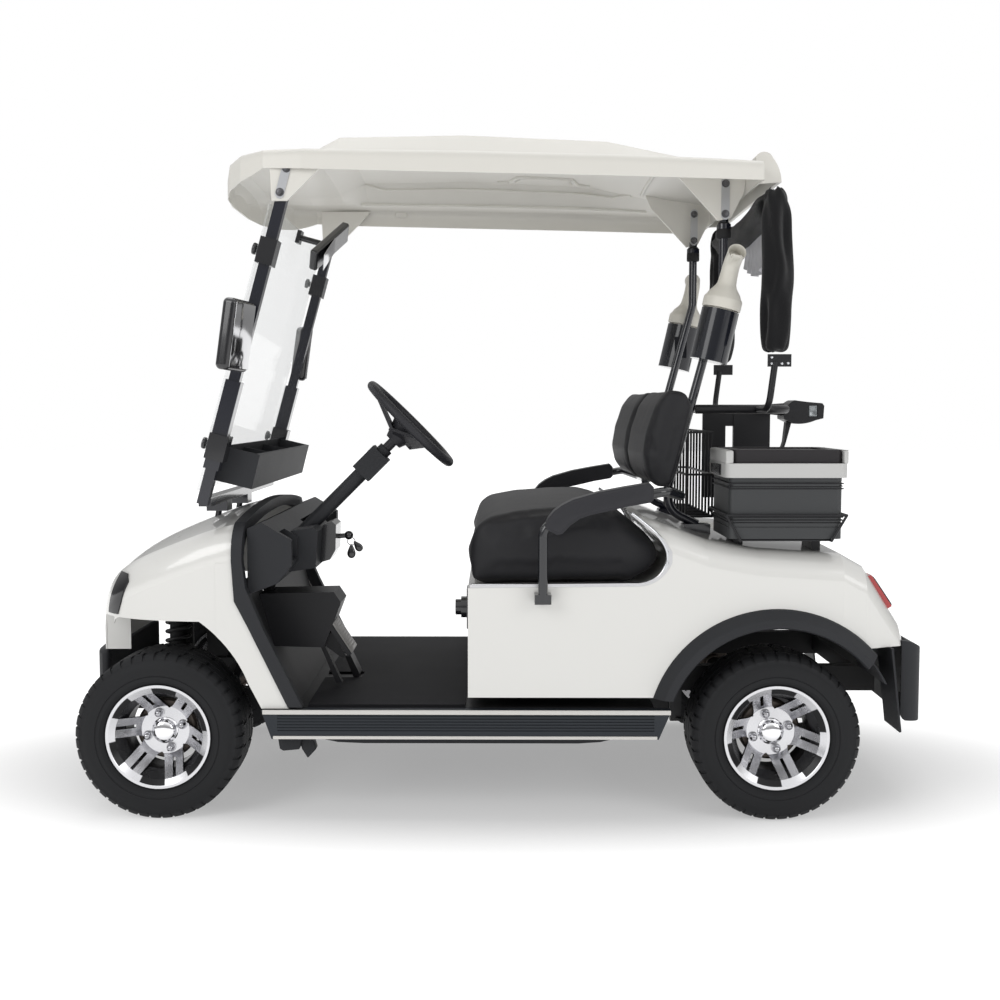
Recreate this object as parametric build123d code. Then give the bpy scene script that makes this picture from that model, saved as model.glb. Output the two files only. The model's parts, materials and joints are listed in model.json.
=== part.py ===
from build123d import *
from math import atan2, cos, degrees, hypot, radians, sin, sqrt, tan
import os

# Two-seat electric golf cart. Millimetres. +X points to the rear, -Y is the cart's left
# side, +Z is up, the ground is Z = 0 and the origin is under the middle of the cart.

# ---------------------------------------------------------------- driving dimensions
overall_length = 2370.0       # front bumper face to rear bumper face
front_overhang = 265.0        # front bumper face to front axle
wheelbase = 1670.0
body_half_width = 556.0       # outer face of the painted sides
body_wall = 5.0               # moulded body panels
floor_top = 309.0
running_fit = 0.05            # radial play on every shaft that turns
seat_gap = 0.3                # between pieces that lie against each other

# wheels and tyres (205/50-10)
tyre_radius = 228.0
tyre_width = 205.0
tread_half = 70.0
track_inset = 83.0            # middle plane of each wheel, inside the body sides
rim_flange_radius = 142.0
rim_seat_radius = 127.0
rim_half_width = 92.0
rim_wall = 7.0
rim_windows = 6
spoke_slot = 9.0
hub_radius = 34.0
drum_radius = 84.0
drum_depth = 34.0
stub_radius = 17.5
cap_radius = 35.0
lug_circle = 101.6            # four lugs on a four-inch circle
lug_count = 4

# steering
kingpin_inset = 71.0          # kingpin inside the wheel's middle plane
kingpin_radius = 8.0
knuckle_radius = 18.0
knuckle_height = 100.0
yoke_plate = 9.0
steering_arm_lift = 36.0      # steering arm above the wheel's middle, over the A-arm
column_angle = 45.0           # of the column above level
steering_wheel_radius = 168.0
steering_rim_radius = 13.0
steering_centre = (-252.0, -270.0, 1070.0)
column_radius = 21.0
column_length = 420.0

# accelerator pedal
throttle_x = -420.0
throttle_y = (-160.0, -90.0)

# chassis
rail_y = 235.0
rail_width = 40.0
rail_height = 60.0
rail_top = 294.7
rear_rail_y = 285.0
rear_rail_height = 72.0
rear_rail_top = 374.0
axle_tube_radius = 30.0
spring_y = 285.0
spring_width = 46.0
leaf_thickness = 7.0
leaf_lengths = (470.0, 330.0, 200.0)

# cowl
cowl_rear_x = -713.0
arch_top = 541.0
nose_bottom = 420.0
nose_inset = 260.0            # sides of the lower nose panel, inside the body sides

# roof
roof_inset = 16.0             # roof sides inside the body sides
roof_wall = 5.0
roof_lift = 0.0

# windscreen and its posts
post_inset = 58.4             # windscreen posts inside the body sides
post_size = 30.0
post_foot = (-803.0, 855.0)
post_head = (-577.0, 1678.0)
glass_thickness = 5.0
glass_gap = 4.0

# seat
seat_inset = 36.0             # seat ends inside the body sides
armrest_out = 39.0            # armrest tubes outside the body sides
seat_floor = 638.0
rear_panel_y = 300.0
bag_well = (656.0, 246.0, 490.0)   # front wall, half width, floor of the golf bag well
seat_front_x = -88.0
seat_rear_x = 444.0

# rear posts
rear_post_y = 285.0
rear_post_radius = 12.5

# bag rack
rack_height = 1112.0
rack_rear_x = 838.0
rack_tube = 13.0

# cooler
cooler_x = (616.0, 918.0)
cooler_inset = 4.0            # cooler inside the body side
cooler_width = 262.0
cooler_base = 766.0
cooler_height = 164.0
cooler_wall = 22.0
cooler_hinge_radius = 5.0

# ---------------------------------------------------------------- worked out from them
front_x = -1185.0             # the drawing's X of the bumper face; the model is centred at the end
rear_x = front_x + overall_length
front_axle_x = front_x + front_overhang
rear_axle_x = front_axle_x + wheelbase
track_half = body_half_width - track_inset
kingpin_y = track_half - kingpin_inset
nose_half = body_half_width - nose_inset
roof_half_width = body_half_width - roof_inset
post_half_track = body_half_width - post_inset
seat_half_width = body_half_width - seat_inset
cooler_y = (cooler_inset - body_half_width, cooler_inset - body_half_width + cooler_width)
sides = (("left", -1), ("right", 1))
corners = (
    ("front_left", front_axle_x, -1),
    ("front_right", front_axle_x, 1),
    ("rear_left", rear_axle_x, -1),
    ("rear_right", rear_axle_x, 1),
)


# ---------------------------------------------------------------- drawing helpers
def edges_through(start, steps, place):
    """Lines and arcs from start; a step is an end point, or (point on the arc, end point)."""
    edges = []
    here = start
    for step in steps:
        if isinstance(step[0], tuple):
            edges.append(ThreePointArc(place(here), place(step[0]), place(step[1])))
            here = step[1]
        else:
            edges.append(Line(place(here), place(step)))
            here = step
    if here != start:
        edges.append(Line(place(here), place(start)))
    return edges


def side_prism(start, steps, y_from, y_to):
    """Side-view outline (x, z) pushed across the cart."""
    wire = Wire(edges_through(start, steps, lambda p: (p[0], y_from, p[1])))
    return extrude(Face(wire), amount=y_to - y_from, dir=(0, 1, 0))


def plan_prism(start, steps, z_from, z_to):
    """Plan-view outline (x, y) pushed upwards."""
    wire = Wire(edges_through(start, steps, lambda p: (p[0], p[1], z_from)))
    return extrude(Face(wire), amount=z_to - z_from, dir=(0, 0, 1))


def cross_face(x, start, steps):
    """Closed outline (y, z) in the plane across the cart at x."""
    return Face(Wire(edges_through(start, steps, lambda p: (x, p[0], p[1]))))


def side_face(y, start, steps):
    """Closed outline (x, z) in the lengthwise plane at y."""
    return Face(Wire(edges_through(start, steps, lambda p: (p[0], y, p[1]))))


def block(x_from, x_to, y_from, y_to, z_from, z_to):
    middle = Pos((x_from + x_to) / 2, (y_from + y_to) / 2, (z_from + z_to) / 2)
    return middle * Box(x_to - x_from, y_to - y_from, z_to - z_from)


def rod(start, end, radius):
    """Round bar between two points."""
    along = Vector(*end) - Vector(*start)
    return extrude(Plane(origin=start, z_dir=along) * Circle(radius), amount=along.length)


def beam(start, end, across, deep):
    """Rectangular bar between two points of one lengthwise plane."""
    along = Vector(*end) - Vector(*start)
    plane = Plane(origin=start, x_dir=(0, 1, 0), z_dir=along)
    return extrude(plane * Rectangle(across, deep), amount=along.length)


def tube(points, radius, bend):
    """Round bar along a bent route."""
    route = FilletPolyline(*points, radius=bend)
    return sweep(Plane(origin=route @ 0, z_dir=route % 0) * Circle(radius), path=route)


def on_side(point, side):
    """The same point on the left (-1) or right (1) of the cart."""
    return (point[0], side * point[1], point[2])


def across_span(side, y_inner, y_outer):
    """The two y values of a span given as distances from the middle plane, low one first."""
    return sorted((side * y_inner, side * y_outer))


def turned(points, axle_x, side):
    """Ring from a profile of (radius, outward distance from the wheel's middle plane)."""
    place = [(axle_x, side * (track_half + w), tyre_radius + r) for r, w in points]
    outline = Polyline(*place, close=True)
    axis = Axis((axle_x, 0, tyre_radius), (0, 1, 0))
    return revolve(make_face(outline), axis=axis)


def both(shape):
    """A solid and its mirror image across the cart's middle plane."""
    return [shape, mirror(shape, about=Plane.XZ)]


# ---------------------------------------------------------------- wheels
def tyre(axle_x, side):
    half = tyre_width / 2
    bead = rim_seat_radius + seat_gap
    top = rim_half_width - 6 - seat_gap
    outer = [
        (bead, top), (rim_flange_radius + 1, top), (rim_flange_radius + 8, half - 5),
        (tyre_radius - 52, half), (tyre_radius - 16, half - 6), (tyre_radius - 5, tread_half + 14),
        (tyre_radius, tread_half),
    ]
    inner = [
        (bead, top - 14), (rim_flange_radius + 6, half - 16),
        (tyre_radius - 46, half - 10), (tyre_radius - 14, tread_half),
    ]
    ring = outer + [(r, -w) for r, w in reversed(outer)] + inner_back(inner)
    return turned(ring, axle_x, side)


def inner_back(inner):
    """The inside of the tyre, from the far bead round to the near one."""
    return [(r, -w) for r, w in inner] + [(r, w) for r, w in reversed(inner)]


def rim(axle_x, side):
    seat, flange, half = rim_seat_radius, rim_flange_radius, rim_half_width
    well = seat - 19
    outer = [
        (flange, half), (flange, half - 6), (seat, half - 6), (seat, half - 28),
        (well, half - 44), (well, -half + 44), (seat, -half + 28), (seat, -half + 6),
        (flange, -half + 6), (flange, -half),
    ]
    inner = [
        (seat - rim_wall, -half), (seat - rim_wall, -half + 30),
        (well - rim_wall, -half + 48), (well - rim_wall, half - 52),
        (seat - rim_wall - 1, half - 12), (flange - 7, half),
    ]
    barrel = turned(outer + inner, axle_x, side)
    disc_edge = seat - rim_wall - 1
    dish = [
        (0.0, -8.0), (62.0, -8.0), (disc_edge, half - 26), (disc_edge, half - 12),
        (66.0, 8.0), (cap_radius, 10.0), (cap_radius * 0.8, 24.0), (0.0, 30.0),
    ]
    disc = turned(dish, axle_x, side)
    windows = []
    for k in range(rim_windows):
        turn = 360.0 / rim_windows * k
        windows.append(wheel_cutter(window_outline(), axle_x, side, turn))
        windows.append(wheel_cutter(slot_outline(), axle_x, side, turn))
    return barrel + (disc - windows)


def window_outline():
    """Opening between two spokes, in the wheel's face, its middle at 80 degrees."""
    corners_polar = (
        # radius, degrees
        (62.0, 80.0), (72.0, 71.5), (119.0, 63.0), (121.0, 71.0), (122.0, 80.0), (121.0, 89.0), (119.0, 97.0),
        (72.0, 88.5),
    )
    return [(r * cos(radians(a)), r * sin(radians(a))) for r, a in corners_polar]


def slot_outline():
    """Narrow slot along the middle of a spoke."""
    half = spoke_slot / 2
    spoke = radians(50.0)
    corners_flat = [(78.0, -half), (121.0, -half), (121.0, half), (78.0, half)]
    return [(r * cos(spoke) - t * sin(spoke), r * sin(spoke) + t * cos(spoke)) for r, t in corners_flat]


def wheel_cutter(outline, axle_x, side, turn):
    """Face outline pushed right through the wheel's disc and turned about its axle."""
    y_low, y_high = across_span(side, track_half - 30, track_half + rim_half_width + 5)
    points = [(axle_x + x, y_low, tyre_radius + z) for x, z in outline]
    cutter = extrude(make_face(Polyline(*points, close=True)), amount=y_high - y_low, dir=(0, 1, 0))
    return cutter.rotate(Axis((axle_x, 0, tyre_radius), (0, -1, 0)), turn)


def hub(axle_x, side):
    """Brake drum and wheel hub in one casting, bored for the stub axle."""
    face = -8.0 - seat_gap
    bore = stub_radius + running_fit
    profile = [
        (bore, face), (drum_radius - 6, face), (drum_radius, face - 6),
        (drum_radius, face - drum_depth), (drum_radius - 6, face - drum_depth),
        (drum_radius - 6, face - 10), (hub_radius, face - 12),
        (hub_radius, face - drum_depth - 8), (bore, face - drum_depth - 8),
    ]
    return turned(profile, axle_x, side)


def hub_inner_w():
    """Outward distance of the hub's inboard end from the wheel's middle plane."""
    return -8.0 - seat_gap - drum_depth - 8


# ---------------------------------------------------------------- front axle
def knuckle(side):
    half = knuckle_height / 2
    centre = (front_axle_x, side * kingpin_y)
    barrel = Pos(centre[0], centre[1], tyre_radius) * Cylinder(knuckle_radius, knuckle_height)
    stub_end = side * (track_half - 8 - seat_gap - 3)
    collar_end = side * (track_half + hub_inner_w() - seat_gap)
    stub = rod((centre[0], centre[1], tyre_radius), (centre[0], stub_end, tyre_radius), stub_radius)
    collar = rod((centre[0], centre[1], tyre_radius), (centre[0], collar_end, tyre_radius), 24.0)
    arm_end = (front_axle_x + 118.0, side * (kingpin_y - 62.0), tyre_radius + steering_arm_lift)
    arm_root = (front_axle_x + 8.0, side * (kingpin_y - 4.0), tyre_radius + steering_arm_lift)
    arm = beam_flat(arm_root, arm_end, 24.0, 12.0)
    eye = Pos(*arm_end) * Cylinder(14.0, 14.0)
    body = barrel + stub + collar + arm + eye
    pin_bore = Pos(centre[0], centre[1], tyre_radius) * Cylinder(
        kingpin_radius + running_fit, knuckle_height + 2
    )
    return body - pin_bore


def beam_flat(start, end, wide, thick):
    """Level bar between two points at one height."""
    along = Vector(*end) - Vector(*start)
    plane = Plane(origin=start, x_dir=(0, 0, 1), z_dir=along)
    return extrude(plane * Rectangle(thick, wide), amount=along.length)


def front_suspension():
    """Each side: a forked carrier with its kingpin, a lower A-arm and a spring leg."""
    solids = []
    gap = 0.5
    half = knuckle_height / 2 + gap
    web_y = kingpin_y - knuckle_radius - 12
    for name, side in sides:
        y_fork = across_span(side, web_y - yoke_plate, kingpin_y + 16)
        y_web = across_span(side, web_y - yoke_plate, web_y)
        x_from, x_to = front_axle_x - 20, front_axle_x + 20
        top = block(x_from, x_to, *y_fork, tyre_radius + half, tyre_radius + half + yoke_plate)
        low = block(x_from, x_to, *y_fork, tyre_radius - half - yoke_plate, tyre_radius - half)
        web = block(x_from, front_axle_x - 2, *y_web, tyre_radius - half - yoke_plate,
                    tyre_radius + half + yoke_plate)
        pin = Pos(front_axle_x, side * kingpin_y, tyre_radius) * Cylinder(
            kingpin_radius, 2 * (half + yoke_plate)
        )
        arm_z = tyre_radius - 45
        root_y = rail_y + rail_width / 2 - 4
        outer = (front_axle_x, side * (web_y - yoke_plate / 2), arm_z)
        legs = [rod(outer, (front_axle_x + dx, side * root_y, rail_top - 40), 11.0) for dx in (-95.0, 95.0)]
        frame_y = rail_y + rail_width / 2 + seat_gap
        frame_room = block(front_axle_x - 150, front_axle_x + 150, -frame_y, frame_y, 0, 300)
        solids.append(top + low + web + pin + legs - frame_room)
        lug = block(x_from, x_to, *across_span(side, web_y - 54, web_y), tyre_radius - 40, tyre_radius - 6)
        foot = (front_axle_x, side * (web_y - 38), tyre_radius - 30)
        head = (front_axle_x - 8.0, side * (web_y - 90), 545.0 - seat_gap)
        strut = rod(foot, head, 24.0) - block(-1200, -600, -500, 500, 545.0 - seat_gap, 700)
        solids[-1] = solids[-1] + lug + strut
    return solids


def steering_shaft_ends():
    """Both ends of the lower steering shaft, from the rack to the column."""
    return (front_axle_x + 138.0, -190.0, rail_top + 24.3), column_point(96.0 + column_length)


def steering_linkage():
    """Rack housing across the frame and the lower steering shaft."""
    z = rail_top + 24 + seat_gap
    x = front_axle_x + 118.0
    housing = rod((x, -200.0, z), (x, 200.0, z), 22.0)
    saddles = [block(x - 16, x + 16, *across_span(side, rail_y - 16, 195.0), rail_top + seat_gap, z)
               for name, side in sides]
    shaft = rod(*steering_shaft_ends(), 11.0)
    column_room = rod(column_point(90.0), column_point(100.0 + column_length + seat_gap), column_radius + 9)
    return [housing + saddles + (shaft - column_room)]


# ---------------------------------------------------------------- steering wheel and column
def column_direction():
    a = radians(column_angle)
    return Vector(cos(a), 0, sin(a))


def column_point(distance):
    """Point of the column's centre line, so far below the steering wheel's middle."""
    p = Vector(*steering_centre) - column_direction() * distance
    return (p.X, p.Y, p.Z)


def steering_wheel():
    centre = Plane(origin=steering_centre, x_dir=(0, 1, 0), z_dir=column_direction())
    ring = centre * Torus(steering_wheel_radius - steering_rim_radius, steering_rim_radius)
    hub_low = 72.0
    boss = centre * Pos(0, 0, -hub_low / 2 - 8) * Cone(26.0, 48.0, hub_low - 16)
    spokes = []
    reach = steering_wheel_radius - steering_rim_radius
    for turn in (90.0, 210.0, 330.0):
        outline = Polyline((20, -48, 0), (reach, -14, 0), (reach, 14, 0), (20, 48, 0), close=True)
        spoke = extrude(make_face(outline), amount=9.0)
        spokes.append(centre * Rot(0, 0, turn) * Pos(0, 0, -62) * Rot(0, -21, 0) * spoke)
    neck = centre * Pos(0, 0, -hub_low - 26) * Cylinder(14.0, 78.0)
    return ring + boss + spokes + neck


def steering_column():
    start = column_point(72.0 + 28)
    end = column_point(72.0 + 28 + column_length)
    tube_part = rod(start, end, column_radius)
    plane = Plane(origin=column_point(160.0), x_dir=(0, 1, 0), z_dir=column_direction())
    box = plane * Box(74.0, 62.0, 84.0)
    socket = rod(column_point(60.0), column_point(72.0 + 29 + 40), 14.0 + running_fit)
    return [tube_part + box - socket]


# ---------------------------------------------------------------- chassis
def chassis_frame():
    parts = []
    x_front = front_x + 80
    joint_x = 430.0
    for name, side in sides:
        y_rail = across_span(side, rail_y - rail_width / 2, rail_y + rail_width / 2)
        parts.append(block(x_front, joint_x + 60, *y_rail, rail_top - rail_height, rail_top))
        y_rear = across_span(side, rear_rail_y - rail_width / 2, rear_rail_y + rail_width / 2)
        parts.append(block(joint_x, rear_x - 100, *y_rear, rear_rail_top - rear_rail_height, rear_rail_top))
        y_joint = across_span(side, rail_y - rail_width / 2, rear_rail_y + rail_width / 2)
        parts.append(block(joint_x, joint_x + 60, *y_joint, rail_top - rail_height, rear_rail_top))
        tower_y = across_span(side, 262.0, 300.0)
        parts.append(block(front_axle_x - 40, front_axle_x + 24, *tower_y, 545.0, 560.0))
        leg_y = across_span(side, rail_y - 12, rail_y + 12)
        parts.append(block(front_axle_x - 40, front_axle_x + 24, *leg_y, rail_top - 5, 560.0))
        parts.append(block(front_axle_x - 40, front_axle_x + 24, *across_span(side, rail_y, 264.0), 545.0, 560.0))
    for x in (x_front + 10, front_axle_x + 170, -100.0, joint_x + 10):
        parts.append(block(x, x + 40, -rail_y, rail_y, rail_top - 50, rail_top - 8))
    for x in (joint_x + 20, rear_x - 140):
        parts.append(block(x, x + 40, -rear_rail_y, rear_rail_y, rear_rail_top - 60, rear_rail_top - 10))
    frame = parts[0]
    for piece in parts[1:]:
        frame = frame + piece
    return [frame]


def rear_axle():
    reach = track_half - 8 - seat_gap - 3
    ends = rod((rear_axle_x, -reach, tyre_radius), (rear_axle_x, reach, tyre_radius), stub_radius)
    tube_reach = track_half + hub_inner_w() - seat_gap
    casing = rod((rear_axle_x, -tube_reach, tyre_radius), (rear_axle_x, tube_reach, tyre_radius),
                 axle_tube_radius)
    gearcase = Pos(rear_axle_x, 0, tyre_radius) * Sphere(92.0)
    return [ends + casing + gearcase]


def drive_motor():
    start = (rear_axle_x + 92 + seat_gap, 0, tyre_radius + 6)
    return [rod(start, (start[0] + 200.0, 0, tyre_radius + 6), 84.0)]


def rear_springs():
    """Leaf pack under the axle each side, with its eyes, shackle and axle pad."""
    solids = []
    top = tyre_radius - axle_tube_radius - 12.0
    for name, side in sides:
        y_span = across_span(side, spring_y - spring_width / 2, spring_y + spring_width / 2)
        pack = None
        for k, length in enumerate(leaf_lengths):
            half = length / 2
            rise = 36.0 * (length / leaf_lengths[0]) ** 2
            z = top - k * leaf_thickness
            leaf = side_prism(
                (rear_axle_x - half, z + rise),
                [((rear_axle_x, z), (rear_axle_x + half, z + rise)),
                 (rear_axle_x + half, z + rise - leaf_thickness),
                 ((rear_axle_x, z - leaf_thickness), (rear_axle_x - half, z + rise - leaf_thickness))],
                *y_span)
            pack = leaf if pack is None else pack + leaf
        pad = block(rear_axle_x - 32, rear_axle_x + 32, *y_span, top - 2,
                    tyre_radius - axle_tube_radius + 2)
        pad = pad - rod((rear_axle_x, -500, tyre_radius), (rear_axle_x, 500, tyre_radius),
                        axle_tube_radius + seat_gap)
        half = leaf_lengths[0] / 2
        y_plate = across_span(side, spring_y - 12, spring_y + 12)
        rail_low = rear_rail_top - rear_rail_height - seat_gap
        hangers = [block(rear_axle_x + s * half - 16, rear_axle_x + s * half + 16, *y_plate,
                         top + 24, rail_low) for s in (-1, 1)]
        solids.append(pack + pad + hangers)
    return solids


def battery_pack():
    return [block(10.0, 350.0, -200.0, 200.0, floor_top - 6 + seat_gap, 580.0)]


# ---------------------------------------------------------------- front body
def cowl_section(x, half, top, wall):
    """Hood section: upright sides, rounded shoulders and a crowned top."""
    w = half - wall
    t = top - wall
    crown = min(34.0, (t - nose_bottom) * 0.2)
    shoulder = min(92.0, (t - nose_bottom) * 0.42)
    low = floor_top - 30
    inset = min(58.0, w * 0.2)
    s = t - crown
    start = (-w, low)
    return cross_face(x, start, [
        (-w, s - shoulder), ((-w + inset * 0.3, s - shoulder * 0.3), (-w + inset, s)),
        ((0.0, t), (w - inset, s)), ((w - inset * 0.3, s - shoulder * 0.3), (w, s - shoulder)),
        (w, low)])


def cowl_loft(wall):
    stations = (
        # x, half width, top
        (-1136.0, body_half_width - 256, 560.0),
        (-1118.0, body_half_width - 184, 620.0),
        (-1050.0, body_half_width - 86, 700.0),
        (-930.0, body_half_width - 24, 762.0),
        (-810.0, body_half_width - 4, 808.0),
        (cowl_rear_x + 20, body_half_width, 834.0),
    )
    faces = []
    for k, (x, half, top) in enumerate(stations):
        step = wall if k == 0 else 0.0
        faces.append(cowl_section(x + step, half, top, wall))
    return loft(faces)


def cowl_trim_front():
    """Side line of the cowl's rear edge, from the roof line down to the sill."""
    return [(-713.0, 900.0), (-717.0, 706.0), (-710.0, 597.0), (-676.0, 531.0), (-564.0, 300.0)]


def front_cowl():
    shell = cowl_loft(0.0) - cowl_loft(body_wall)
    arch = side_prism(
        (-1062.0, 100.0),
        [(-1062.0, arch_top - 20), ((-1056.0, arch_top - 6), (-1042.0, arch_top)), (-807.0, arch_top),
         ((-735.0, 475.0), (-674.0, 371.0)), (-640.0, 305.0), (-640.0, 100.0)], -700, 700)
    under = block(-1400, -1062.0, -700, 700, 100, nose_bottom)
    low = block(-1400, -400, -700, 700, 100, floor_top - 4)
    edge = cowl_trim_front()
    rear = side_prism(edge[0], edge[1:] + [(-564.0, 100.0), (-300.0, 100.0), (-300.0, 900.0)], -700, 700)
    for name, side in sides:
        corner = block(-1200, -1062.0, *across_span(side, nose_half + body_wall, 700.0), 100, arch_top)
        y_cheek = across_span(side, nose_half, nose_half + body_wall)
        cheek = block(-1130.0, -1062.0, *y_cheek, nose_bottom, arch_top + 8)
        shell = (shell - corner) + cheek
    return [s for s in (shell + rear_leg() - arch - under - low - rear).solids()]


def rear_leg():
    """The side panels behind the front wheels, down to the sills."""
    legs = []
    for name, side in sides:
        y_span = across_span(side, body_half_width - body_wall, body_half_width)
        legs.append(side_prism((-760.0, 300.0), [(-760.0, 700.0), (-690.0, 700.0), (-560.0, 540.0),
                                                 (-520.0, 300.0)], *y_span))
    return legs[0] + legs[1]


def front_bumper():
    """Moulded bumper bowed across the nose, clear of the steered tyres."""
    end_y = nose_half - 12
    plan = plan_prism(
        (-1126.0, -end_y),
        [((-1141.0, -end_y + 5), (-1150.0, -end_y + 20)), ((front_x, 0.0), (-1150.0, end_y - 20)),
         ((-1141.0, end_y - 5), (-1126.0, end_y)), (-1126.0, end_y - 8),
         ((front_x + 46, 0.0), (-1126.0, -end_y + 8))], 244.0, nose_bottom - seat_gap)
    profile = side_prism(
        (-1300.0, 262.0),
        [(-1190.0, 262.0), (-1140.0, 244.0), (-1030.0, 244.0), (-1030.0, 424.0), (-1140.0, 424.0),
         ((-1171.0, 414.0), (-1187.0, 380.0)), (-1300.0, 380.0)], -500, 500)
    bracket = block(-1140.0, -1106.0, -226.0, 226.0, 300.0, 330.0)
    return [(plan & profile) + (bracket - chassis_room())]


def chassis_room():
    """Room for the frame's front end, with its seat gap."""
    return block(front_x + 80 - seat_gap, 0.0, -500.0, 500.0, 0.0, rail_top + 1)


def headlamps():
    """Slanted lamp lenses set on the cowl's front corners."""
    centre = (-1056.0, 94 - body_half_width, 598.0)
    plane = Plane(origin=centre, x_dir=(0.52, 0.10, 0.85), z_dir=(-0.60, -0.72, 0.42))
    outline = Polygon((-70, -26), (58, -40), (74, -18), (66, 24), (-58, 20), align=None)
    lens = plane * extrude(outline, amount=46, both=True)
    cap = cowl_loft(-5.0) - cowl_loft(-seat_gap) - block(-1200, -900, -700, 700, 400, arch_top + 8)
    return both((lens & cap).solids()[0])


def cowl_edge_trims():
    """Soft black edge band round the cockpit opening, up one side, over and down the other."""
    edge = cowl_trim_front()
    g = seat_gap
    outer = [(x + g, z) for x, z in edge]
    inner = [(-683.0, 900.0), (-688.0, 706.0), (-679.0, 632.0), (-632.0, 520.0), (-524.0, 300.0)]
    band = side_prism(outer[0], outer[1:] + inner[::-1], -700, 700)
    grown = cowl_band_loft(6.0)
    hollow = cowl_band_loft(-26.0)
    low = block(-1400, -400, -700, 700, 100, floor_top + seat_gap)
    return [s for s in ((grown & band) - hollow - low).solids()]


def cowl_band_loft(grow):
    """The cowl's rear section carried straight back, grown or shrunk all round."""
    section = cowl_section(-800.0, body_half_width + grow, 834.0 + grow, 0.0)
    return extrude(section, amount=400.0, dir=(1, 0, 0))


def dashboard():
    """Dash shelf under the cowl's crown with its cubby and the centre console."""
    y_in = body_half_width - body_wall - 30.0
    shelf = side_prism(
        (-680.0, 610.0),
        [(-680.0, 790.0), (-640.0, 806.0), (-560.0, 758.0), (-560.0, 690.0), (-600.0, 640.0)],
        -y_in, y_in)
    console = side_prism(
        (-700.0, 640.0), [(-700.0, 752.0), (-520.0, 782.0), (-505.0, 770.0), (-512.0, 668.0)],
        -400.0, -140.0)
    cubby = block(-672.0, -540.0, -120.0, y_in - 41, 700.0, 780.0)
    near_cubby = block(-672.0, -540.0, 21 - y_in, -410.0, 700.0, 780.0)
    column_hole = rod(column_point(50.0), column_point(100.0 + column_length), column_radius + seat_gap)
    shaft_room = rod(*steering_shaft_ends(), 24.0)
    return [shelf + console - cubby - near_cubby - column_hole - shaft_room]


def key_switch():
    """Key switch on the dash and the direction selector on the seat base."""
    box = side_prism((-511.0, 672.0), [(-504.0, 780.0), (-478.0, 790.0), (-466.0, 780.0), (-468.0, 708.0),
                                       (-484.0, 680.0)], -300.0, -180.0)
    barrel = rod((-474.0, -240.0, 742.0), (-446.0, -240.0, 744.0), 7.0)
    fob = Pos(-436.0, -240.0, 745.0) * Sphere(13.0)
    front = -82.0 - seat_gap
    plate = block(front - 6, front, -420.0, -340.0, 500.0, 612.0)
    collar = rod((front - 5, -380.0, 556.0), (front - 22, -380.0, 556.0), 30.0)
    grip = rod((front - 20, -380.0, 556.0), (front - 38, -380.0, 556.0), 22.0)
    return [box + barrel + fob, plate + collar + grip]


def firewall_x(z):
    """X just behind the firewall's rear face at height z, above the toe board."""
    return -642.0 - (z - 432.0) * 58.0 / 208.0 + seat_gap


def pedals():
    """Brake pedal with its parking plate, the accelerator and their housing."""
    housing = side_prism((firewall_x(434.0), 434.0), [(firewall_x(585.0), 585.0), (-470.0, 590.0), (-450.0, 560.0),
                                                      (-500.0, 430.0)], -330.0, -190.0)
    arm = side_prism((-520.0, 470.0), [(-534.0, 478.0), (-470.0, 322.0), (-452.0, 322.0)], -300.0, -272.0)
    plate = side_prism((-498.0, 505.0), [(-486.0, 513.0), (-420.0, 412.0), (-431.0, 404.0)], -330.0, -200.0)
    foot_z = floor_top - 6 + seat_gap
    throttle = side_prism((-478.0, 420.0), [(-468.0, 428.0), (throttle_x + 4, 318.0), (throttle_x, foot_z),
                                            (throttle_x - 12, foot_z)], *throttle_y)
    link = side_prism((-530.0, 430.0), [(-480.0, 470.0), (-440.0, 400.0), (-452.0, 394.0), (-500.0, 430.0)],
                      -300.0, -272.0)
    shaft_room = rod(*steering_shaft_ends(), 16.0)
    return [housing + arm + plate + link - shaft_room, throttle]


# ---------------------------------------------------------------- floor
def floor_pan():
    """Cockpit floor with the sloping firewall and the toe board in one pressing."""
    y_in = body_half_width - 26
    low = floor_top - 14
    sheet = 6.0
    outline = [
        (-700.0, 640.0), (-706.0, 640.0), (-650.0, 430.0), (-560.0, low), (424.0, low),
        (424.0, floor_top - 6), (-552.0, floor_top - 6), (-642.0, 432.0)]
    pan = side_prism(outline[0], outline[1:], 15 - y_in, y_in - 15)
    floor = pan + block(-540.0, 424.0, -y_in, y_in, low, floor_top - 6)
    shaft_room = rod(*steering_shaft_ends(), 24.0)
    return [floor - shaft_room]


def floor_mat():
    """Rubber mat with a notch round the accelerator's foot."""
    half = body_half_width - 31
    mat = block(-518.0, -90.0, -half, half, floor_top - 6 + seat_gap, floor_top + 1)
    return [mat - block(-530.0, throttle_x + 12, throttle_y[0] - 5, throttle_y[1] + 5, 280.0, 330.0)]


def side_sills():
    """Ribbed running-board covers outside the floor's edges."""
    solids = []
    for name, side in sides:
        y_span = across_span(side, body_half_width - 26 + seat_gap, body_half_width + 10)
        bar = side_prism((-640.0, floor_top - 7), [(-612.0, 224.0), (432.0, 224.0), (466.0, floor_top - 7)],
                         *y_span)
        y_groove = across_span(side, body_half_width + 7, body_half_width + 14)
        for k in range(6):
            z = 246.0 + k * 8.0
            bar = bar - block(-596.0, 420.0, *y_groove, z, z + 3.5)
        solids.append(bar)
    return solids


def underbody_tray():
    tray = side_prism((-560.0, rail_top - rail_height - seat_gap), [(-460.0, 205.0), (260.0, 212.0),
                      (380.0, rail_top - rail_height - seat_gap)], 76 - body_half_width, body_half_width - 76)
    return [tray]


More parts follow.
